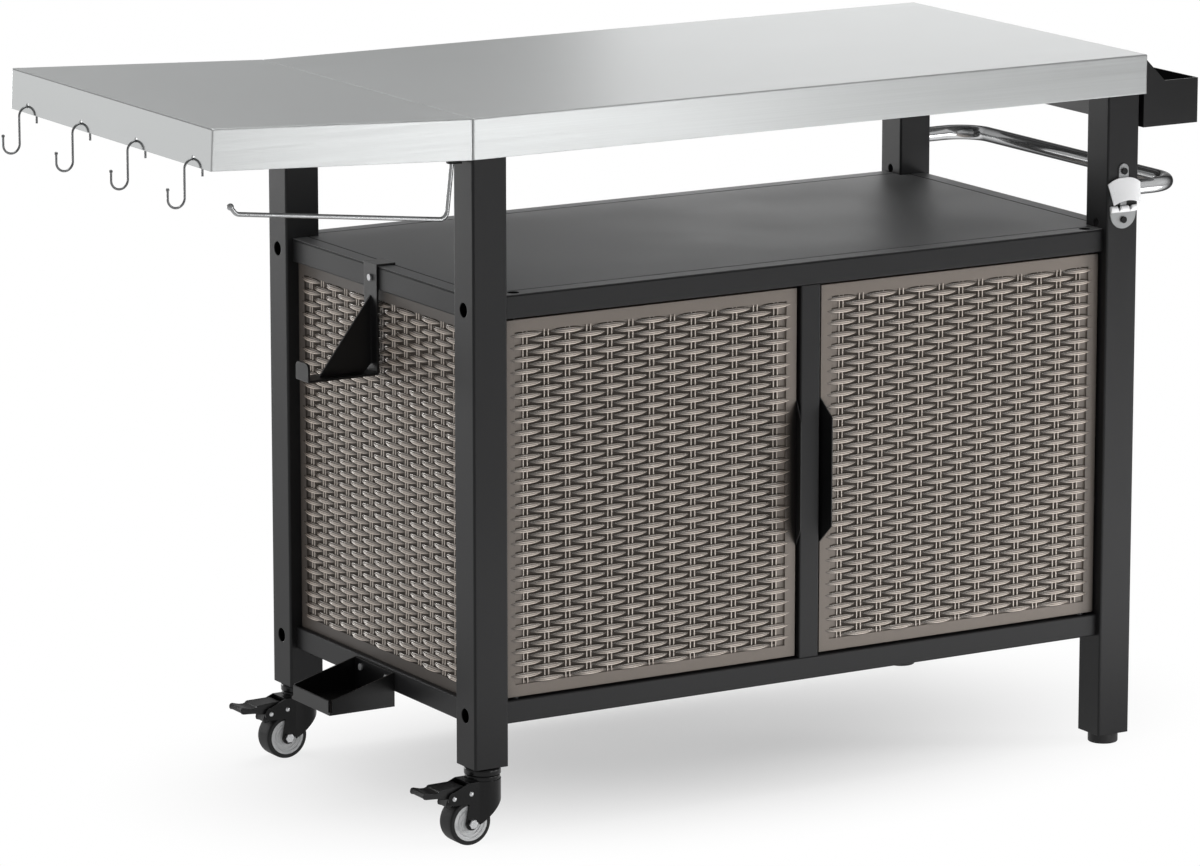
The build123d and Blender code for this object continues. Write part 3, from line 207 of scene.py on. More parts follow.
# ---------------------------------------------------------------- deck
# A steel sheet laid on the mid rails and notched round the legs, and the cabinet's
# floor below it; both have a coarser, paler texture coat than the frame.
texture_coat = (linear(105, 105, 106), linear(147, 147, 148), (0.42, 0.56), 700.0, 5.0, 0.6)
floor_coat = coated("floor_coat", *texture_coat, specular=0.4)
dress(floor_coat, "cabinet_floor")


def opened(finish):
    """The tree and shader of a finish, with the output that gives it its colour."""
    shader = finish.node_tree.nodes["Principled BSDF"]
    return finish.node_tree, shader, shader.inputs["Base Color"].links[0].from_socket


# The groove inside the deck's edge and its cut edges lie below its face: their colour is painted dark, a painted
# shade.
deck_coat = coated("deck_coat", *texture_coat, specular=0.4)
tree, shader, tone = opened(deck_coat)
place = tree.nodes.new("ShaderNodeTexCoord")
split = tree.nodes.new("ShaderNodeSeparateXYZ")
below_face = add_math(tree, "LESS_THAN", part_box("deck")[1].z - 0.0003)
painted_shade = add_colour_mix(tree, second=linear(14, 14, 15))
wire(tree,
     (place.outputs["Object"], split.inputs[0]),
     (split.outputs["Z"], below_face.inputs[0]),
     (below_face.outputs[0], painted_shade.inputs[0]),
     (tone, painted_shade.inputs[colour_a]),
     (painted_shade.outputs[colour_out], shader.inputs["Base Color"]))
dress(deck_coat, "deck")


# ---------------------------------------------------------------- woven panels
# Doors, sides and back are moulded resin panels with a flat border round a sunk
# field of imitation wicker: flat strands pass over every second pair of ribs.

# The border's colour is painted darker where little of the sky is open to it, darkest in the nook
# between a door's front face and its pull: painted shade for the pull's shadow. The sunk step behind that face
# keeps its tone.
resin_border = coated("resin_border", linear(112, 103, 95), linear(128, 118, 109),
                      (0.36, 0.46), 1200.0, 7.0, 0.2)
tree, shader, tone = opened(resin_border)
open_sky = tree.nodes.new("ShaderNodeAmbientOcclusion")
open_sky.samples = 8
open_sky.inputs["Distance"].default_value = 0.03
nook = add_range(tree, taken=(0.5, 0.86), given=(0.03, 1.0), eased=True)
place = tree.nodes.new("ShaderNodeTexCoord")
split = tree.nodes.new("ShaderNodeSeparateXYZ")
below_face = add_math(tree, "GREATER_THAN", -0.2565)
bare = add_math(tree, "MAXIMUM")
painted_shade = add_colour_mix(tree, first=linear(14, 12, 11))
wire(tree,
     (open_sky.outputs["AO"], nook.inputs["Value"]),
     (place.outputs["Object"], split.inputs[0]),
     (split.outputs["Y"], below_face.inputs[0]),
     (nook.outputs[0], bare.inputs[0]),
     (below_face.outputs[0], bare.inputs[1]),
     (bare.outputs[0], painted_shade.inputs[0]),
     (tone, painted_shade.inputs[colour_b]),
     (painted_shade.outputs[colour_out], shader.inputs["Base Color"]))
dress(resin_border, "door_left", "door_right", "back_panel")
# The side panels' border is the same resin, given a darker tone: painted shade for the dimmer light on the sides.
shaded_side_border = coated("shaded_side_border", linear(74, 69, 65), linear(90, 84, 79),
                     (0.4, 0.5), 1200.0, 7.0, 0.2, specular=0.3)
dress(shaded_side_border, "side_panel_left", "side_panel_right")

# The strands' finish: streaks along each strand, read from the field's UV map; painted shade and highlight, read
# from its rise attribute, dark in the tucks and pale on the crests and along the lower right edge; and painted
# shade in two grooves between three plies, read from its ply attribute.
woven_resin, tree, shader = new_finish("woven_resin")
shader.inputs["Specular IOR Level"].default_value = 0.9
shader.inputs["IOR"].default_value = 2.1
shader.inputs["Specular Tint"].default_value = linear(255, 249, 243)
weave_map = tree.nodes.new("ShaderNodeUVMap")
weave_map.uv_map = "weave"
stretch = tree.nodes.new("ShaderNodeMapping")
stretch.inputs["Scale"].default_value = (28.0, 900.0, 1.0)
streak = tree.nodes.new("ShaderNodeTexNoise")
streak.inputs["Scale"].default_value = 1.0
streak.inputs["Detail"].default_value = 3.0
shade_and_sheen_map = tree.nodes.new("ShaderNodeAttribute")
shade_and_sheen_map.attribute_name = "rise"
ply_map = tree.nodes.new("ShaderNodeAttribute")
ply_map.attribute_name = "ply"
both = add_math(tree, "MULTIPLY_ADD", 0.4)
turns = add_math(tree, "MULTIPLY_ADD", 3.0 * math.pi, math.pi)
wave = add_math(tree, "COSINE")
groove = add_range(tree, taken=(0.45, 1.0), given=(0.0, 0.5))
plied = add_math(tree, "SUBTRACT")
shade = add_range(tree, taken=(0.25, 1.25))
tint = add_colour_mix(tree, linear(54, 48, 43), linear(222, 207, 194))
gloss = add_range(tree, given=(0.2, 0.3))
raised = tree.nodes.new("ShaderNodeBump")
raised.inputs["Strength"].default_value = 0.6
raised.inputs["Distance"].default_value = 0.0004
wire(tree,
     (weave_map.outputs["UV"], stretch.inputs["Vector"]),
     (stretch.outputs["Vector"], streak.inputs["Vector"]),
     (streak.outputs["Fac"], both.inputs[0]),
     (shade_and_sheen_map.outputs["Fac"], both.inputs[2]),
     (ply_map.outputs["Fac"], turns.inputs[0]),
     (turns.outputs[0], wave.inputs[0]),
     (wave.outputs[0], groove.inputs["Value"]),
     (both.outputs[0], plied.inputs[0]),
     (groove.outputs[0], plied.inputs[1]),
     (plied.outputs[0], shade.inputs["Value"]),
     (shade.outputs[0], tint.inputs[0]),
     (streak.outputs["Fac"], gloss.inputs["Value"]),
     (plied.outputs[0], raised.inputs["Height"]),
     (tint.outputs[colour_out], shader.inputs["Base Color"]),
     (gloss.outputs[0], shader.inputs["Roughness"]),
     (raised.outputs["Normal"], shader.inputs["Normal"]))

# The dark sheet behind each weave: its colour is painted shade for the floor of the moulding.
woven_shade = coated("woven_shade", linear(56, 50, 45), linear(76, 69, 63),
                     (0.6, 0.7), 1200.0, 12.0, 0.2, specular=0.2)


def grid_faces(count, long, wide):
    """Quads of count grids laid end to end, each long x wide points, corners in turning order."""
    start = np.arange(count)[:, None, None] * long * wide
    corner = start + (np.arange(long - 1)[:, None] * wide + np.arange(wide - 1)[None, :])
    corner = corner.reshape(-1)
    return np.stack([corner, corner + wide, corner + wide + 1, corner + 1], axis=1)


def put_mesh(name, points, faces, finish, body):
    """Makes one smooth mesh object from an array of points and a list of faces, in place, on its body."""
    mesh = bpy.data.meshes.new(name)
    mesh.from_pydata(points.reshape(-1, 3).tolist(), [], faces)
    mesh.polygons.foreach_set("use_smooth", np.full(len(mesh.polygons), True))
    mesh.materials.append(finish)
    mesh.update()
    piece = bpy.data.objects.new(name, mesh)
    bpy.context.scene.collection.objects.link(piece)
    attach(piece, body)
    return piece


# Sizes of the weave in metres. Edges reach buried below the field, so none shows.
stake_pitch, row_pitch = 0.0315, 0.00797
half_strand, crown_height, buried = 0.0037, 0.006, 0.0002
end_gap, edge_lap = 0.0055, 0.007
rib_apart, rib_half, rib_height = 0.003, 0.0013, 0.0019
strand_long, rib_round = 11, 6


def woven_field(name, corner, across, out, width, height, body):
    """Strands and ribs of one field, seen from outside with across to the right and Z up.

    Each strand is a grid: its half height falls from the middle to pointed ends as
    1 - |u| to the power 2.8 and its crown sinks to the field as 1 - u squared. Across v
    the crown is a parabola, highest below the middle, cut off square at both edges and
    split into three plies, each a half round between two grooves. Rows and stakes are
    counted, and a strand lies over a stake where row plus stake is even. A strand at
    the field's side sinks less and laps over the border. Ribs are half rounds in pairs,
    one pair to a stake, running the field's height, and behind it all lies a dark
    sheet, its colour a painted shade for the floor of the moulding. The rise attribute
    is the height over the field plus a painted highlight leaning to the strand's right and lower edge."""
    stakes = round(width / stake_pitch)
    rows = round(height / row_pitch)
    pitch, rise = width / stakes, height / rows
    row, stake = np.meshgrid(np.arange(rows), np.arange(stakes), indexing="ij")
    over = (row + stake) % 2 == 0
    middle = ((stake[over] + 0.5) * pitch)[:, None, None]
    level = (height - (row[over] + 0.5) * rise)[:, None, None]
    in_ply = np.array([0.0, 0.12, 0.5, 0.88])
    across_strand = np.append(np.concatenate([in_ply, in_ply + 1.0, in_ply + 2.0]), 3.0) / 1.5 - 1.0
    u, v = np.meshgrid(np.linspace(-1.0, 1.0, strand_long), across_strand, indexing="ij")
    free = pitch - end_gap
    reach = np.where(u < 0, np.minimum(free, middle + edge_lap), np.minimum(free, width - middle + edge_lap))
    sink = np.where(reach < free, 0.53, 0.9)
    far = middle + reach * u
    high = level + half_strand * (1.0 - 0.93 * np.abs(u) ** 2.8) * v
    ply = np.sqrt(1.0 - (2.0 * ((v + 1.0) * 1.5 % 1.0) - 1.0) ** 2)
    across_crown = (1.0 - 0.3 * (v + 0.62) ** 2 - 0.18 * (1.0 - ply)) * (np.abs(v) < 1.0)
    crown = crown_height * (1.0 - sink * u ** 2) * across_crown - buried
    strands = np.stack([far, high, np.broadcast_to(crown, far.shape)], axis=-1)

    turn = np.linspace(0.0, math.pi, rib_round)
    side = ((np.arange(stakes) + 0.5) * pitch)[:, None] + np.array([-rib_apart, rib_apart])
    rib = side.reshape(-1)[:, None, None] - rib_half * np.cos(turn)[None, None, :]
    rib = np.broadcast_to(rib, (stakes * 2, 2, rib_round))
    ends = np.broadcast_to(np.array([height, 0.0])[None, :, None], rib.shape)
    lift = np.broadcast_to(rib_height * np.sin(turn)[None, None, :] - buried, rib.shape)
    ribs = np.stack([rib, ends, lift], axis=-1)

    # The dark sheet: painted shade laid over the field's floor.
    left, foot = pitch * 0.36, 0.003
    sheet = np.array([[left, foot, 0.0001], [left, height - foot, 0.0001],
                      [width - left, foot, 0.0001], [width - left, height - foot, 0.0001]])
    flat = np.concatenate([strands.reshape(-1, 3), ribs.reshape(-1, 3), sheet])
    faces = np.concatenate([grid_faces(len(strands), strand_long, len(across_strand)),
                            grid_faces(stakes * 2, 2, rib_round) + strands.size // 3,
                            grid_faces(1, 2, 2) + len(flat) - len(sheet)])
    points = (np.array(corner) + flat[:, :1] * np.array(across)
              + flat[:, 1:2] * np.array([0.0, 0.0, 1.0]) + flat[:, 2:] * np.array(out))
    piece = put_mesh(name, points, faces.tolist(), woven_resin, body)
    piece.data.materials.append(woven_shade)
    piece.data.polygons[len(faces) - 1].material_index = 1

    # Painted highlight and shade in the tone: lighter along the lower edge and towards the right end, darker to
    # the upper left, added to the height.
    lit_edge = np.exp(-((v + 0.7) / 0.2) ** 2) * (0.5 + 0.5 * u)
    lit_side_lean = 0.2 * u - 0.12 * v + 0.34 * lit_edge - 0.2
    crown_shade_and_sheen = np.concatenate([(strands[..., 2] / (crown_height - buried) + lit_side_lean).ravel(),
                             ribs[..., 2].ravel() / 0.0022, np.zeros(len(sheet))])
    piece.data.attributes.new("rise", "FLOAT", "POINT").data.foreach_set("value", crown_shade_and_sheen.astype(np.float32))
    plies = np.concatenate([np.broadcast_to(v, far.shape).ravel(), np.full(ribs.size // 3 + len(sheet), 0.2)])
    piece.data.attributes.new("ply", "FLOAT", "POINT").data.foreach_set("value", plies.astype(np.float32))
    layer = piece.data.uv_layers.new(name="weave")
    corners = np.empty(len(piece.data.loops), dtype=np.int32)
    piece.data.loops.foreach_get("vertex_index", corners)
    layer.data.foreach_set("uv", flat[corners, :2].astype(np.float32).ravel())


border, sunk = 0.016, 0.0025
for door in ("door_left", "door_right"):
    low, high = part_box(door)
    woven_field(door + "_weave", (low.x + border, low.y + sunk, low.z + border), (1, 0, 0), (0, -1, 0),
                high.x - low.x - 2 * border, high.z - low.z - 2 * border, door)
low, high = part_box("side_panel_left")
woven_field("side_left_weave", (low.x + sunk, high.y - border, low.z + border), (0, -1, 0), (-1, 0, 0),
            high.y - low.y - 2 * border, high.z - low.z - 2 * border, "cart")
low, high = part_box("side_panel_right")
woven_field("side_right_weave", (high.x - sunk, low.y + border, low.z + border), (0, 1, 0), (1, 0, 0),
            high.y - low.y - 2 * border, high.z - low.z - 2 * border, "cart")
low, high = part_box("back_panel")
half_width = (high.x - low.x) / 2
for name, start in (("back_left_weave", high.x), ("back_right_weave", high.x - half_width)):
    woven_field(name, (start - border, high.y - sunk, low.z + border), (-1, 0, 0), (0, 1, 0),
                half_width - 2 * border, high.z - low.z - 2 * border, "cart")

# Bent plate pulls on the doors and the hinge pins, painted black; catches and strikes behind.
plate_black = coated("plate_black", linear(9, 9, 10), linear(20, 20, 21),
                     (0.3, 0.4), 1000.0, 8.0, 0.2, specular=0.4)
dress(plate_black, "door_pull_left", "door_pull_right", "hinge_pins")
dress(zinc, "strike_left", "strike_right")
catch_grey = coated("catch_grey", linear(40, 40, 42), linear(62, 62, 64),
                    (0.4, 0.5), 1500.0, 30.0, 0.2)
dress(catch_grey, "magnet_catches")


# ---------------------------------------------------------------- work top
# A stainless work top and its side leaf, folded from sheet with deep aprons and
# brushed lengthwise; welded hat sections stiffen them from below.
brushed, given, wanted = new_group(
    "brushed_grain",
    [("Line Scale", 700.0), ("Rough Low", 0.26), ("Rough High", 0.36)],
    ["Tone", "Rough", "Height"])
place = brushed.nodes.new("ShaderNodeTexCoord")
squeeze = brushed.nodes.new("ShaderNodeMapping")
squeeze.inputs["Scale"].default_value = (0.006, 1.0, 1.0)
line = brushed.nodes.new("ShaderNodeTexNoise")
line.inputs["Detail"].default_value = 4.0
line.inputs["Roughness"].default_value = 0.65
spread = add_range(brushed, taken=(0.3, 0.7))
wire(brushed,
     (place.outputs["Object"], squeeze.inputs["Vector"]),
     (squeeze.outputs["Vector"], line.inputs["Vector"]),
     (given.outputs["Line Scale"], line.inputs["Scale"]),
     (line.outputs["Fac"], spread.inputs["Value"]),
     (given.outputs["Rough Low"], spread.inputs["To Min"]),
     (given.outputs["Rough High"], spread.inputs["To Max"]),
     (line.outputs["Fac"], wanted.inputs["Tone"]),
     (spread.outputs[0], wanted.inputs["Rough"]),
     (line.outputs["Fac"], wanted.inputs["Height"]))

# Fine lines run along X. The leaf's end apron, which looks to the left, is rolled
# smoother than the rest.
top_steel, tree, shader = grained(
    "top_steel", brushed, {"Line Scale": 700.0, "Rough Low": 0.32, "Rough High": 0.4},
    linear(186, 188, 188), linear(206, 208, 208), 0.15, 0.0001, 0.0015)
shader.inputs["Metallic"].default_value = 1.0
shader.inputs["Anisotropic"].default_value = 0.55
sweep = tree.nodes.new("ShaderNodeTangent")
sweep.direction_type = "RADIAL"
sweep.axis = "X"
lined_rough = shader.inputs["Roughness"].links[0].from_socket
where = tree.nodes.new("ShaderNodeTexCoord")
split = tree.nodes.new("ShaderNodeSeparateXYZ")
end_apron = add_math(tree, "LESS_THAN", -0.8)
smoother = tree.nodes.new("ShaderNodeMix")
smoother.inputs[number_b].default_value = 0.1
wire(tree,
     (sweep.outputs[0], shader.inputs["Tangent"]),
     (where.outputs["Normal"], split.inputs[0]),
     (split.outputs["X"], end_apron.inputs[0]),
     (end_apron.outputs[0], smoother.inputs[0]),
     (lined_rough, smoother.inputs[number_a]),
     (smoother.outputs[number_out], shader.inputs["Roughness"]))
dress(top_steel, "main_top", "side_leaf", "top_stiffeners")


# ---------------------------------------------------------------- casters
# Two braked swivel casters under the left legs: pressed black forks on a stem,
# pale plastic hubs in black rubber tyres, riveted through; a moulded foot pedal each.
fork_black = coated("fork_black", linear(5, 5, 6), linear(12, 12, 13),
                    (0.14, 0.22), 900.0, 14.0, 0.1, specular=0.3)
hub_pale = coated("hub_pale", linear(222, 223, 224), linear(238, 239, 240),
                  (0.4, 0.5), 1500.0, 20.0, 0.15)
tyre_rubber = coated("tyre_rubber", linear(16, 16, 17), linear(30, 30, 31),
                     (0.5, 0.62), 1800.0, 18.0, 0.3, specular=0.35)
rivet_steel = coated("rivet_steel", linear(196, 197, 199), linear(222, 223, 224),
                     (0.24, 0.34), 900.0, 20.0, 0.1, metallic=1.0)


def loft(rings, closed=False):
    """Points and faces of rings of equal count skinned in order, turned so that all look outward.

    An open loft gets a flat cap at each end; a closed one joins its last ring to its first."""
    count, around = rings.shape[:2]
    spans = count if closed else count - 1
    ring, step = np.meshgrid(np.arange(spans), np.arange(around), indexing="ij")
    after, beside = (ring + 1) % count, (step + 1) % around
    quads = np.stack([ring * around + step, ring * around + beside,
                      after * around + beside, after * around + step], axis=-1).reshape(-1, 4).tolist()
    caps = [] if closed else [list(range(around))[::-1], list(range((count - 1) * around, count * around))]
    faces = quads + caps
    points = rings.reshape(-1, 3)
    corners = points[np.array(quads)] - points.mean(axis=0)
    across = np.cross(corners[:, 2] - corners[:, 0], corners[:, 3] - corners[:, 1])
    if (across * corners.mean(axis=1)).sum() < 0:
        faces = [face[::-1] for face in faces]
    return points, faces


def put_lofts(name, lofts, finish, body):
    """Makes one mesh object of several lofts, in place, smooth but for edges over 35 degrees."""
    sizes = [len(points) for points, _ in lofts]
    starts = np.concatenate([[0], np.cumsum(sizes)[:-1]]).tolist()
    faces = [[corner + start for corner in face] for (_, part), start in zip(lofts, starts) for face in part]
    piece = put_mesh(name, np.concatenate([points for points, _ in lofts]), faces, finish, body)
    piece.data.set_sharp_from_angle(angle=math.radians(35.0))
    return piece


def spun(profile, centre, turns):
    """Rings of a profile of (reach along Y, radius) turned about an axis through centre along Y."""
    angle = np.arange(turns) / turns * 2.0 * math.pi
    return np.stack([centre[0] + profile[:, None, 1] * np.cos(angle),
                     centre[1] + np.broadcast_to(profile[:, None, 0], (len(profile), turns)),
                     centre[2] + profile[:, None, 1] * np.sin(angle)], axis=-1)


# The tyre's section as (reach, radius), a pedal's side view in millimetres from the
# swivel's axis, and a rivet's and a nut's profile.
mirror_y = np.array([-1.0, 1.0])
quarter = np.linspace(0.0, 0.5 * math.pi, 5)
wall = np.array([[0.0149, 0.0238], [0.0149, 0.026]])
shoulder = np.stack([0.0127 + 0.0022 * np.cos(quarter), 0.0277 + 0.0022 * np.sin(quarter)], axis=1)
tread = np.array([[0.007, 0.02995], [0.0, 0.03], [-0.007, 0.02995]])
tyre_section = np.concatenate([wall, shoulder, tread, (shoulder * mirror_y)[::-1], (wall * mirror_y)[::-1]])
lever = np.array([[-34, 79.2], [-39, 80.0], [-55, 79.7], [-70.5, 79.0], [-72.2, 78.4], [-73.0, 76.9],
                  [-77, 75.6], [-83, 75.9], [-88.5, 77.3], [-93, 78.5], [-95.2, 78.3], [-96.5, 76.8],
                  [-96.7, 73.9], [-95.6, 72.0], [-93, 71.2], [-74, 70.0], [-71, 68.4], [-59.5, 66.5],
                  [-58.2, 62.0], [-60, 57.5], [-59.3, 54.4], [-56, 53.0], [-52.6, 54.4], [-51, 58.0],
                  [-45.5, 66.0], [-45, 74.2], [-34, 74.2]]) * 0.001
along = np.roll(lever, -1, axis=0) - np.roll(lever, 1, axis=0)
inward = np.stack([along[:, 1], -along[:, 0]], axis=1) / np.linalg.norm(along, axis=1)[:, None]
half_lever = np.where(lever[:, 0] < -0.064, 0.0168, np.where(lever[:, 1] < 0.066, 0.011, 0.0147))
rounded_sides = ((-1.0, 0.0009), (-0.94, 0.0002), (-0.88, 0.0), (0.88, 0.0), (0.94, 0.0002), (1.0, 0.0009))
dome = np.linspace(0.0, 0.5 * math.pi, 6)[:-1]
rivet = np.concatenate([[[0.0, 0.0033]], np.stack([0.0018 * np.sin(dome), 0.0033 * np.cos(dome)], axis=1)])
nut = np.array([[0.0, 0.0065], [0.0045, 0.0065], [0.0052, 0.0057]])
swivel_x, axle_x, axle_z, cheek = -0.331095, -0.357095, 0.03, 0.019
rivet_places = ((-0.383095, 0.066), (-0.358095, 0.0695))
for end, y in (("front", -0.24725), ("back", 0.25475)):
    dress(fork_black, f"caster_{end}_fork", f"caster_{end}_stem")
    dress(hub_pale, f"caster_{end}_hub")
    tyre = put_lofts(f"caster_{end}_tyre_mould", [loft(spun(tyre_section, (axle_x, y, axle_z), 64), closed=True)],
                     tyre_rubber, f"caster_{end}_wheel")
    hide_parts(f"caster_{end}_tyre")
    rings = []
    for side, inset in rounded_sides:
        flat = lever + inward * inset
        rings.append(np.stack([flat[:, 0] + swivel_x, y + side * half_lever, flat[:, 1]], axis=1))
    pedal = put_lofts(f"caster_{end}_pedal_mould", [loft(np.array(rings))],
                      moulded_black, f"caster_{end}_pedal")
    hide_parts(f"caster_{end}_pedal")
    heads = []
    for face in (-1.0, 1.0):
        outward = np.array([face, 1.0])
        for x, z in rivet_places:
            heads.append(loft(spun(rivet * outward, (x, y + face * cheek, z), 20)))
        heads.append(loft(spun(nut * outward, (axle_x, y + face * cheek, axle_z), 6)))
    pins = put_lofts(f"caster_{end}_rivets", heads, rivet_steel, f"caster_{end}_fork")
    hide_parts(f"caster_{end}_pins")


# ---------------------------------------------------------------- feet
# Screw-in levelling feet under the right legs: a threaded stem in a round pad,
# moulded in the same black plastic as the plugs that hold them.
dress(moulded_black, "foot_front", "foot_back")


# ---------------------------------------------------------------- bottle hook and tray
# Folded black plate screwed to the left end: a hook with a gusset and, below it,
# a shallow tray for the bottle's foot.
dress(plate_black, "bottle_hook", "bottle_tray")


# ---------------------------------------------------------------- towel rod and hooks
# A bent bright wire held by a clip under the leaf, and four wire S-hooks that
# hang in holes of the leaf's end apron.
rod_wire = coated("rod_wire", linear(158, 159, 160), linear(182, 183, 184),
                  (0.12, 0.2), 500.0, 10.0, 0.05, metallic=0.95)
dress(rod_wire, "towel_rod")
# The hooks are the same bright wire as the rod, given a darker tone: painted shade for the dark edges that fill
# most of so thin a wire.
shaded_hook_wire = coated("shaded_hook_wire", linear(104, 105, 106), linear(134, 135, 136),
                   (0.12, 0.2), 500.0, 10.0, 0.05, metallic=0.95)
dress(shaded_hook_wire, "s_hook_1", "s_hook_2", "s_hook_3", "s_hook_4")

# The clip: a short block round the rod's end, and a thin plate behind it up to the seam.
low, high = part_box("rod_clip")
rod_x, rod_y = low.x + 0.006, (low.y + high.y) / 2
turn = np.arange(24) / 24 * 2.0 * math.pi
squared = np.stack([np.sign(np.cos(turn)) * np.abs(np.cos(turn)) ** 0.45,
                    np.sign(np.sin(turn)) * np.abs(np.sin(turn)) ** 0.45], axis=1)


def squared_post(left, right, half_wide, levels):
    """Loft of rounded squares between two X, one ring to a level, drawn in at both ends.

    A rounded square is a circle whose cosine and sine are taken to the power 0.45."""
    middle = (left + right) / 2
    rings = [np.column_stack([middle + (right - left) / 2 * size * squared[:, 0],
                              rod_y + half_wide * size * squared[:, 1], np.full(len(squared), level)])
             for level, size in zip(levels, (0.9, 1.0, 1.0, 0.9))]
    return loft(np.stack(rings))


block = squared_post(rod_x - 0.0052, high.x, 0.0058, low.z + np.array([0.0105, 0.0113, 0.0195, 0.02]))
back_plate = squared_post(high.x - 0.003, high.x, 0.0075, low.z + np.array([0.0105, 0.0113, 0.049, 0.05]))
clip = put_lofts("rod_clip_mould", [block, back_plate], moulded_black, "cart")
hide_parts("rod_clip")


# ---------------------------------------------------------------- rack and handle
# On the right end: a folded black spice rack, and below it a bent steel tube to push
# by, polished bright; its colour is painted darker where its sides turn away from the eye, a painted reflection.
dress(plate_black, "spice_rack")
polished = coated("polished_steel", linear(236, 237, 238), linear(246, 247, 248),
                  (0.08, 0.14), 500.0, 10.0, 0.05, metallic=0.8)
tree, shader, bright = opened(polished)
shader.inputs["Specular Tint"].default_value = linear(104, 104, 105)
# Painted reflection: the colour darkens towards the edges that turn away from the eye.
turned = tree.nodes.new("ShaderNodeLayerWeight")
turned.inputs["Blend"].default_value = 0.5
rim = add_range(tree, taken=(0.34, 0.72), given=(0.0, 0.92), eased=True)
painted_dark_rim = add_colour_mix(tree, second=linear(38, 38, 39))
wire(tree,
     (turned.outputs["Facing"], rim.inputs["Value"]),
     (rim.outputs[0], painted_dark_rim.inputs[0]),
     (bright, painted_dark_rim.inputs[colour_a]),
     (painted_dark_rim.outputs[colour_out], shader.inputs["Base Color"]))
dress(polished, "push_handle")

# Screws of all fittings: plated, and blacked with the rack on the right end.
screw_heads = coated("screw_heads", linear(176, 177, 179), linear(214, 215, 216),
                     (0.3, 0.4), 900.0, 20.0, 0.1, metallic=0.5)
tree, shader, plated = opened(screw_heads)
where = tree.nodes.new("ShaderNodeTexCoord")
split = tree.nodes.new("ShaderNodeSeparateXYZ")
right_end = add_math(tree, "GREATER_THAN", 0.6)
blacked = add_colour_mix(tree, second=linear(20, 20, 21))
wire(tree,
     (where.outputs["Object"], split.inputs[0]),
     (split.outputs["X"], right_end.inputs[0]),
     (right_end.outputs[0], blacked.inputs[0]),
     (plated, blacked.inputs[colour_a]),
     (blacked.outputs[colour_out], shader.inputs["Base Color"]))
dress(screw_heads, "fitting_screws")


# ---------------------------------------------------------------- bottle opener
# A nickel-plated pressing screwed to the front right leg: a flat back plate, a hood
# that stands off it, and below the hood a lip with two notches to hold a cap.
# The hood and lip get a near-white tone, a painted highlight, and the back plate a grey one, painted shade: all
# three are one nickel pressing.
nickel = coated("lit_satin_nickel", linear(244, 245, 246), linear(252, 252, 253),
                (0.26, 0.34), 700.0, 12.0, 0.05, metallic=0.2)
shaded_nickel_plate = coated("shaded_nickel_plate", linear(150, 151, 152), linear(164, 165, 166),
                      (0.3, 0.4), 700.0, 12.0, 0.05, metallic=0.55)
leg_x, leg_y = 0.645905, -0.27225

# Hood: across u and down v it stands farther off, bows out in the middle and narrows;
# its inner skin comes back up one sheet's thickness behind the outer one.
u = np.linspace(-1.0, 1.0, 19)[:, None]
v = np.concatenate([np.linspace(0.0, 1.0, 9), np.linspace(1.0, 0.0, 9)])[None, :]
skin = np.concatenate([np.zeros(9), np.full(9, 0.0014)])[None, :]
wide = 0.0262 - 0.0045 * v
stand = (0.004 + 0.0094 * v) * (1.0 - 0.16 * u ** 2) - skin
level = (0.7775 + 0.008 * (1.0 - np.abs(u) ** 2.6)) * (1.0 - v) + (0.75 + 0.006 * (1.0 - u ** 2)) * v
hood = np.stack([leg_x + u * wide, leg_y - stand, np.broadcast_to(level, stand.shape)], axis=-1)

# Back plate: a round ear for the screw, a narrow neck and a bowl, with a worn front edge.
bow = np.linspace(0.0, math.pi, 13)
bowl = np.linspace(math.pi, 2.0 * math.pi, 25)
outline = np.concatenate([
    np.stack([0.0078 * np.cos(bow), 0.7962 + 0.0078 * np.sin(bow)], axis=1),
    np.array([[-0.0078, 0.772], [-0.005, 0.765], [-0.005, 0.744], [-0.0205, 0.743]]),
    np.stack([0.021 * np.cos(bowl), 0.737 + 0.021 * np.sin(bowl)], axis=1),
    np.array([[0.0205, 0.743], [0.005, 0.744], [0.005, 0.765], [0.0078, 0.772]])])
plate = np.stack([np.column_stack([leg_x + outline[:, 0] * size, np.full(len(outline), leg_y - depth),
                                   outline[:, 1]])
                  for depth, size in ((0.0, 1.0), (0.0013, 1.0), (0.0018, 0.985))])

# Lip: an oval carried across u on a shallow bow, its top cut by two notches.
u = np.linspace(-1.0, 1.0, 45)[:, None]
turn = np.linspace(0.0, 2.0 * math.pi, 17)[None, :-1]
notch = np.maximum(0.0, 1.0 - np.abs(np.abs(u) - 0.42) / 0.13)
lip_top, lip_foot = 0.7475 - 0.0065 * notch, 0.7385
lip = np.stack([np.broadcast_to(leg_x + 0.021 * u, (u.size, turn.size)),
                leg_y - 0.0045 * np.sqrt(1.0 - 0.8 * u ** 2) - 0.0025 * np.cos(turn),
                (lip_top + lip_foot) / 2 + (lip_top - lip_foot) / 2 * np.sin(turn)], axis=-1)

pressed = [loft(hood), loft(plate), loft(lip)]
opener = put_lofts("opener_pressing", pressed, nickel, "cart")
opener.data.materials.append(shaded_nickel_plate)
part_of = np.repeat([0, 1, 0], [len(faces) for _, faces in pressed])
opener.data.polygons.foreach_set("material_index", part_of.astype(np.int32))
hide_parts("bottle_opener")


# ---------------------------------------------------------------- studio
# A plain pale floor that runs out to white, soft lamps above, behind and in
# front, and a long-lens camera at standing height to the left of the front.
floor_mesh = bpy.data.meshes.new("studio_floor")
floor_mesh.from_pydata([(-60, -60, 0), (60, -60, 0), (60, 60, 0), (-60, 60, 0)], [], [(0, 1, 2, 3)])
studio_floor = bpy.data.objects.new("studio_floor", floor_mesh)
bpy.context.scene.collection.objects.link(studio_floor)

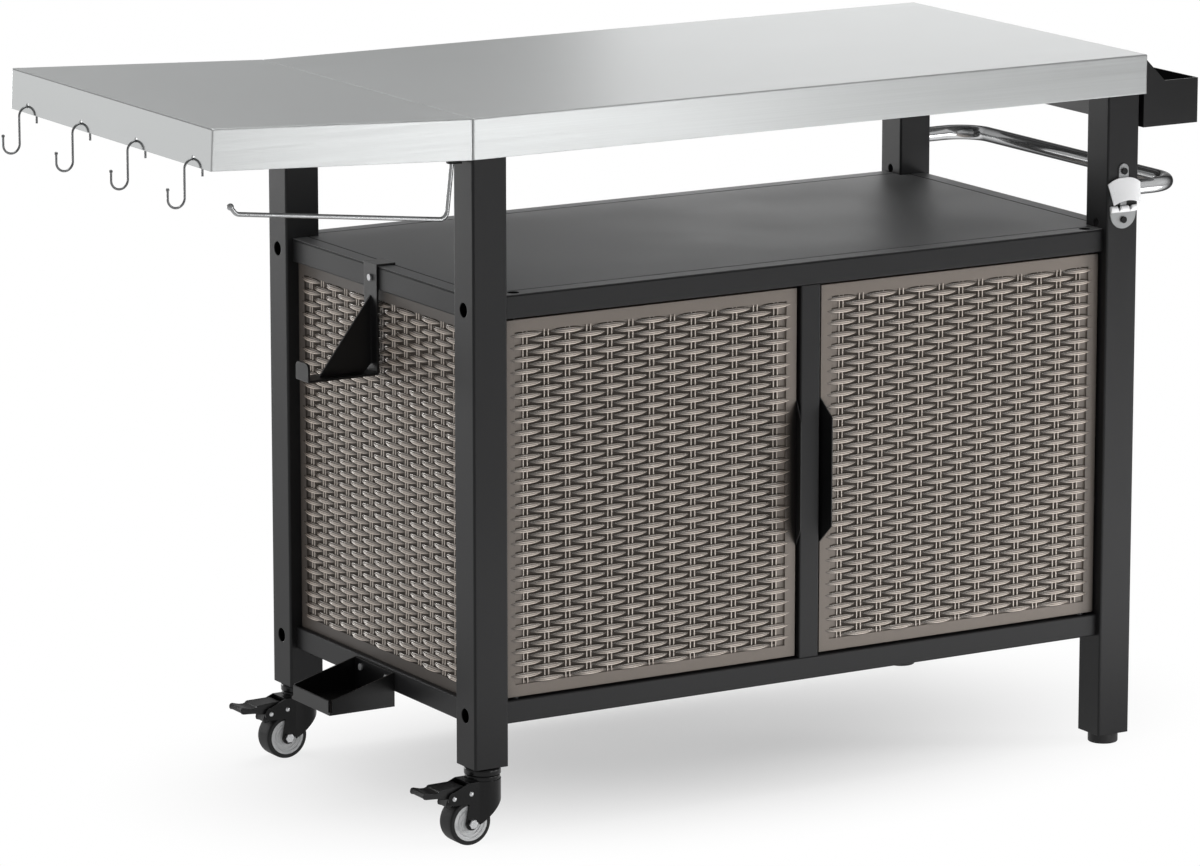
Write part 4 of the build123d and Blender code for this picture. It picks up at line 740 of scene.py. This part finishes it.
# The floor's shading shows near the cart and fades to plain white in an oval round it.
# Seen in the metal it is a little darker towards the front and at the far right.
pale, tree, shader = new_finish("pale_floor")
shader.inputs["Base Color"].default_value = (0.95, 0.95, 0.95, 1.0)
shader.inputs["Roughness"].default_value = 1.0
shader.inputs["Specular IOR Level"].default_value = 0.0
place = tree.nodes.new("ShaderNodeTexCoord")
patch = tree.nodes.new("ShaderNodeMapping")
patch.inputs["Location"].default_value = (-0.236, -0.152, 0.0)
patch.inputs["Scale"].default_value = (1.818, 3.03, 1.0)
distance = tree.nodes.new("ShaderNodeVectorMath")
distance.operation = "LENGTH"
fade = add_range(tree, taken=(0.25, 1.6), given=(0.44, 1.0), eased=True)
path = tree.nodes.new("ShaderNodeLightPath")
seen = add_math(tree, "MAXIMUM")
seen_through = add_math(tree, "MAXIMUM")
share = add_math(tree, "MULTIPLY")
split = tree.nodes.new("ShaderNodeSeparateXYZ")
mirrored = add_range(tree, taken=(-3.5, 3.5), given=(0.6, 0.95), eased=True)
far_right = add_range(tree, taken=(2.2, 3.9), given=(1.0, 0.4), eased=True)
dimmed = add_math(tree, "MULTIPLY")
glowing = tree.nodes.new("ShaderNodeMix")
glowing.inputs[number_b].default_value = 1.0
white = tree.nodes.new("ShaderNodeEmission")
both = tree.nodes.new("ShaderNodeMixShader")
wire(tree,
     (place.outputs["Object"], patch.inputs["Vector"]),
     (patch.outputs["Vector"], distance.inputs[0]),
     (distance.outputs["Value"], fade.inputs["Value"]),
     (path.outputs["Is Camera Ray"], seen.inputs[0]),
     (path.outputs["Is Glossy Ray"], seen.inputs[1]),
     (seen.outputs[0], seen_through.inputs[0]),
     (path.outputs["Is Transmission Ray"], seen_through.inputs[1]),
     (fade.outputs[0], share.inputs[0]),
     (seen_through.outputs[0], share.inputs[1]),
     (place.outputs["Object"], split.inputs[0]),
     (split.outputs["Y"], mirrored.inputs["Value"]),
     (split.outputs["X"], far_right.inputs["Value"]),
     (mirrored.outputs[0], dimmed.inputs[0]),
     (far_right.outputs[0], dimmed.inputs[1]),
     (path.outputs["Is Camera Ray"], glowing.inputs[0]),
     (dimmed.outputs[0], glowing.inputs[number_a]),
     (glowing.outputs[number_out], white.inputs["Strength"]),
     (share.outputs[0], both.inputs[0]),
     (shader.outputs[0], both.inputs[1]),
     (white.outputs[0], both.inputs[2]),
     (both.outputs[0], tree.nodes["Material Output"].inputs["Surface"]))
floor_mesh.materials.append(pale)

# A white room: plain white to look at, dimmer as light, and in mirrors a little
# brighter overhead than at eye level.
sky = bpy.data.worlds.new("studio_white")
bpy.context.scene.world = sky
sky.use_nodes = True
tree = sky.node_tree
glow = tree.nodes["Background"]
glow.inputs["Color"].default_value = (1.0, 1.0, 1.0, 1.0)
path = tree.nodes.new("ShaderNodeLightPath")
shown = add_math(tree, "MAXIMUM")
direction = tree.nodes.new("ShaderNodeTexCoord")
parts = tree.nodes.new("ShaderNodeSeparateXYZ")
ceiling = add_range(tree, taken=(0.1, 0.25), given=(0.36, 0.44), eased=True)
strength = tree.nodes.new("ShaderNodeMix")
strength.inputs[number_a].default_value = 0.27
open_view = tree.nodes.new("ShaderNodeMix")
open_view.inputs[number_b].default_value = 1.0
wire(tree,
     (direction.outputs["Generated"], parts.inputs[0]),
     (parts.outputs["Z"], ceiling.inputs["Value"]),
     (path.outputs["Is Glossy Ray"], strength.inputs[0]),
     (ceiling.outputs[0], strength.inputs[number_b]),
     (path.outputs["Is Camera Ray"], shown.inputs[0]),
     (path.outputs["Is Transmission Ray"], shown.inputs[1]),
     (shown.outputs[0], open_view.inputs[0]),
     (strength.outputs[number_out], open_view.inputs[number_a]),
     (open_view.outputs[number_out], glow.inputs["Strength"]))


def soft_lamp(name, at, towards, wide, tall, level, mirrored_too=True, lit_too=True):
    """A rectangular lamp turned from one point to another; its face glows at level times white."""
    lamp = bpy.data.lights.new(name, "AREA")
    lamp.shape = "RECTANGLE"
    lamp.size, lamp.size_y = wide, tall
    lamp.energy = level * math.pi * wide * tall
    holder = bpy.data.objects.new(name, lamp)
    bpy.context.scene.collection.objects.link(holder)
    holder.location = at
    aim = Vector(towards) - Vector(at)
    holder.rotation_euler = aim.to_track_quat("-Z", "Y").to_euler()
    holder.visible_camera = False
    holder.visible_glossy = mirrored_too
    holder.visible_diffuse = lit_too


soft_lamp("overhead_lamp", (-0.3, 0.5, 4.5), (0.0, 0.0, 0.6), 3.0, 3.0, 3.6)
soft_lamp("back_right_lamp", (2.9, 2.8, 1.6), (0.4, 0.0, 0.95), 2.2, 1.4, 1.45)
soft_lamp("front_right_lamp", (1.5, -3.6, 0.5), (-0.1, -0.28, 0.9), 1.0, 0.9, 4.0)
soft_lamp("key_lamp", (3.4, -1.7, 0.8), (0.15, -0.25, 0.45), 0.9, 0.9, 22.0, mirrored_too=False)
soft_lamp("left_lamp", (-3.6, 0.5, 0.9), (-0.34, 0.0, 0.45), 1.2, 1.2, 4.6, mirrored_too=False)
soft_lamp("right_lamp", (1.62, -1.2, 0.16), (0.15, -0.26, 0.43), 0.8, 0.3, 3.8)
soft_lamp("back_left_lamp", (-1.2, 3.9, 0.42), (-0.34, 0.0, 0.45), 1.0, 0.9, 6.4)
soft_lamp("floor_card", (0.65, -0.68, 0.02), (0.6, -0.3, 0.8), 1.6, 0.6, 1.7, lit_too=False)

eye = bpy.data.cameras.new("standing_camera")
eye.lens = 190.33
eye.sensor_width = 36.0
eye.sensor_fit = "HORIZONTAL"
eye.clip_end = 200.0
camera = bpy.data.objects.new("standing_camera", eye)
bpy.context.scene.collection.objects.link(camera)
camera.location = (-4.2431, -7.1146, 2.2377)
camera.rotation_euler = (math.radians(77.859), 0.0, math.radians(-30.767))
bpy.context.scene.camera = camera
bpy.context.scene.view_settings.view_transform = "Standard"
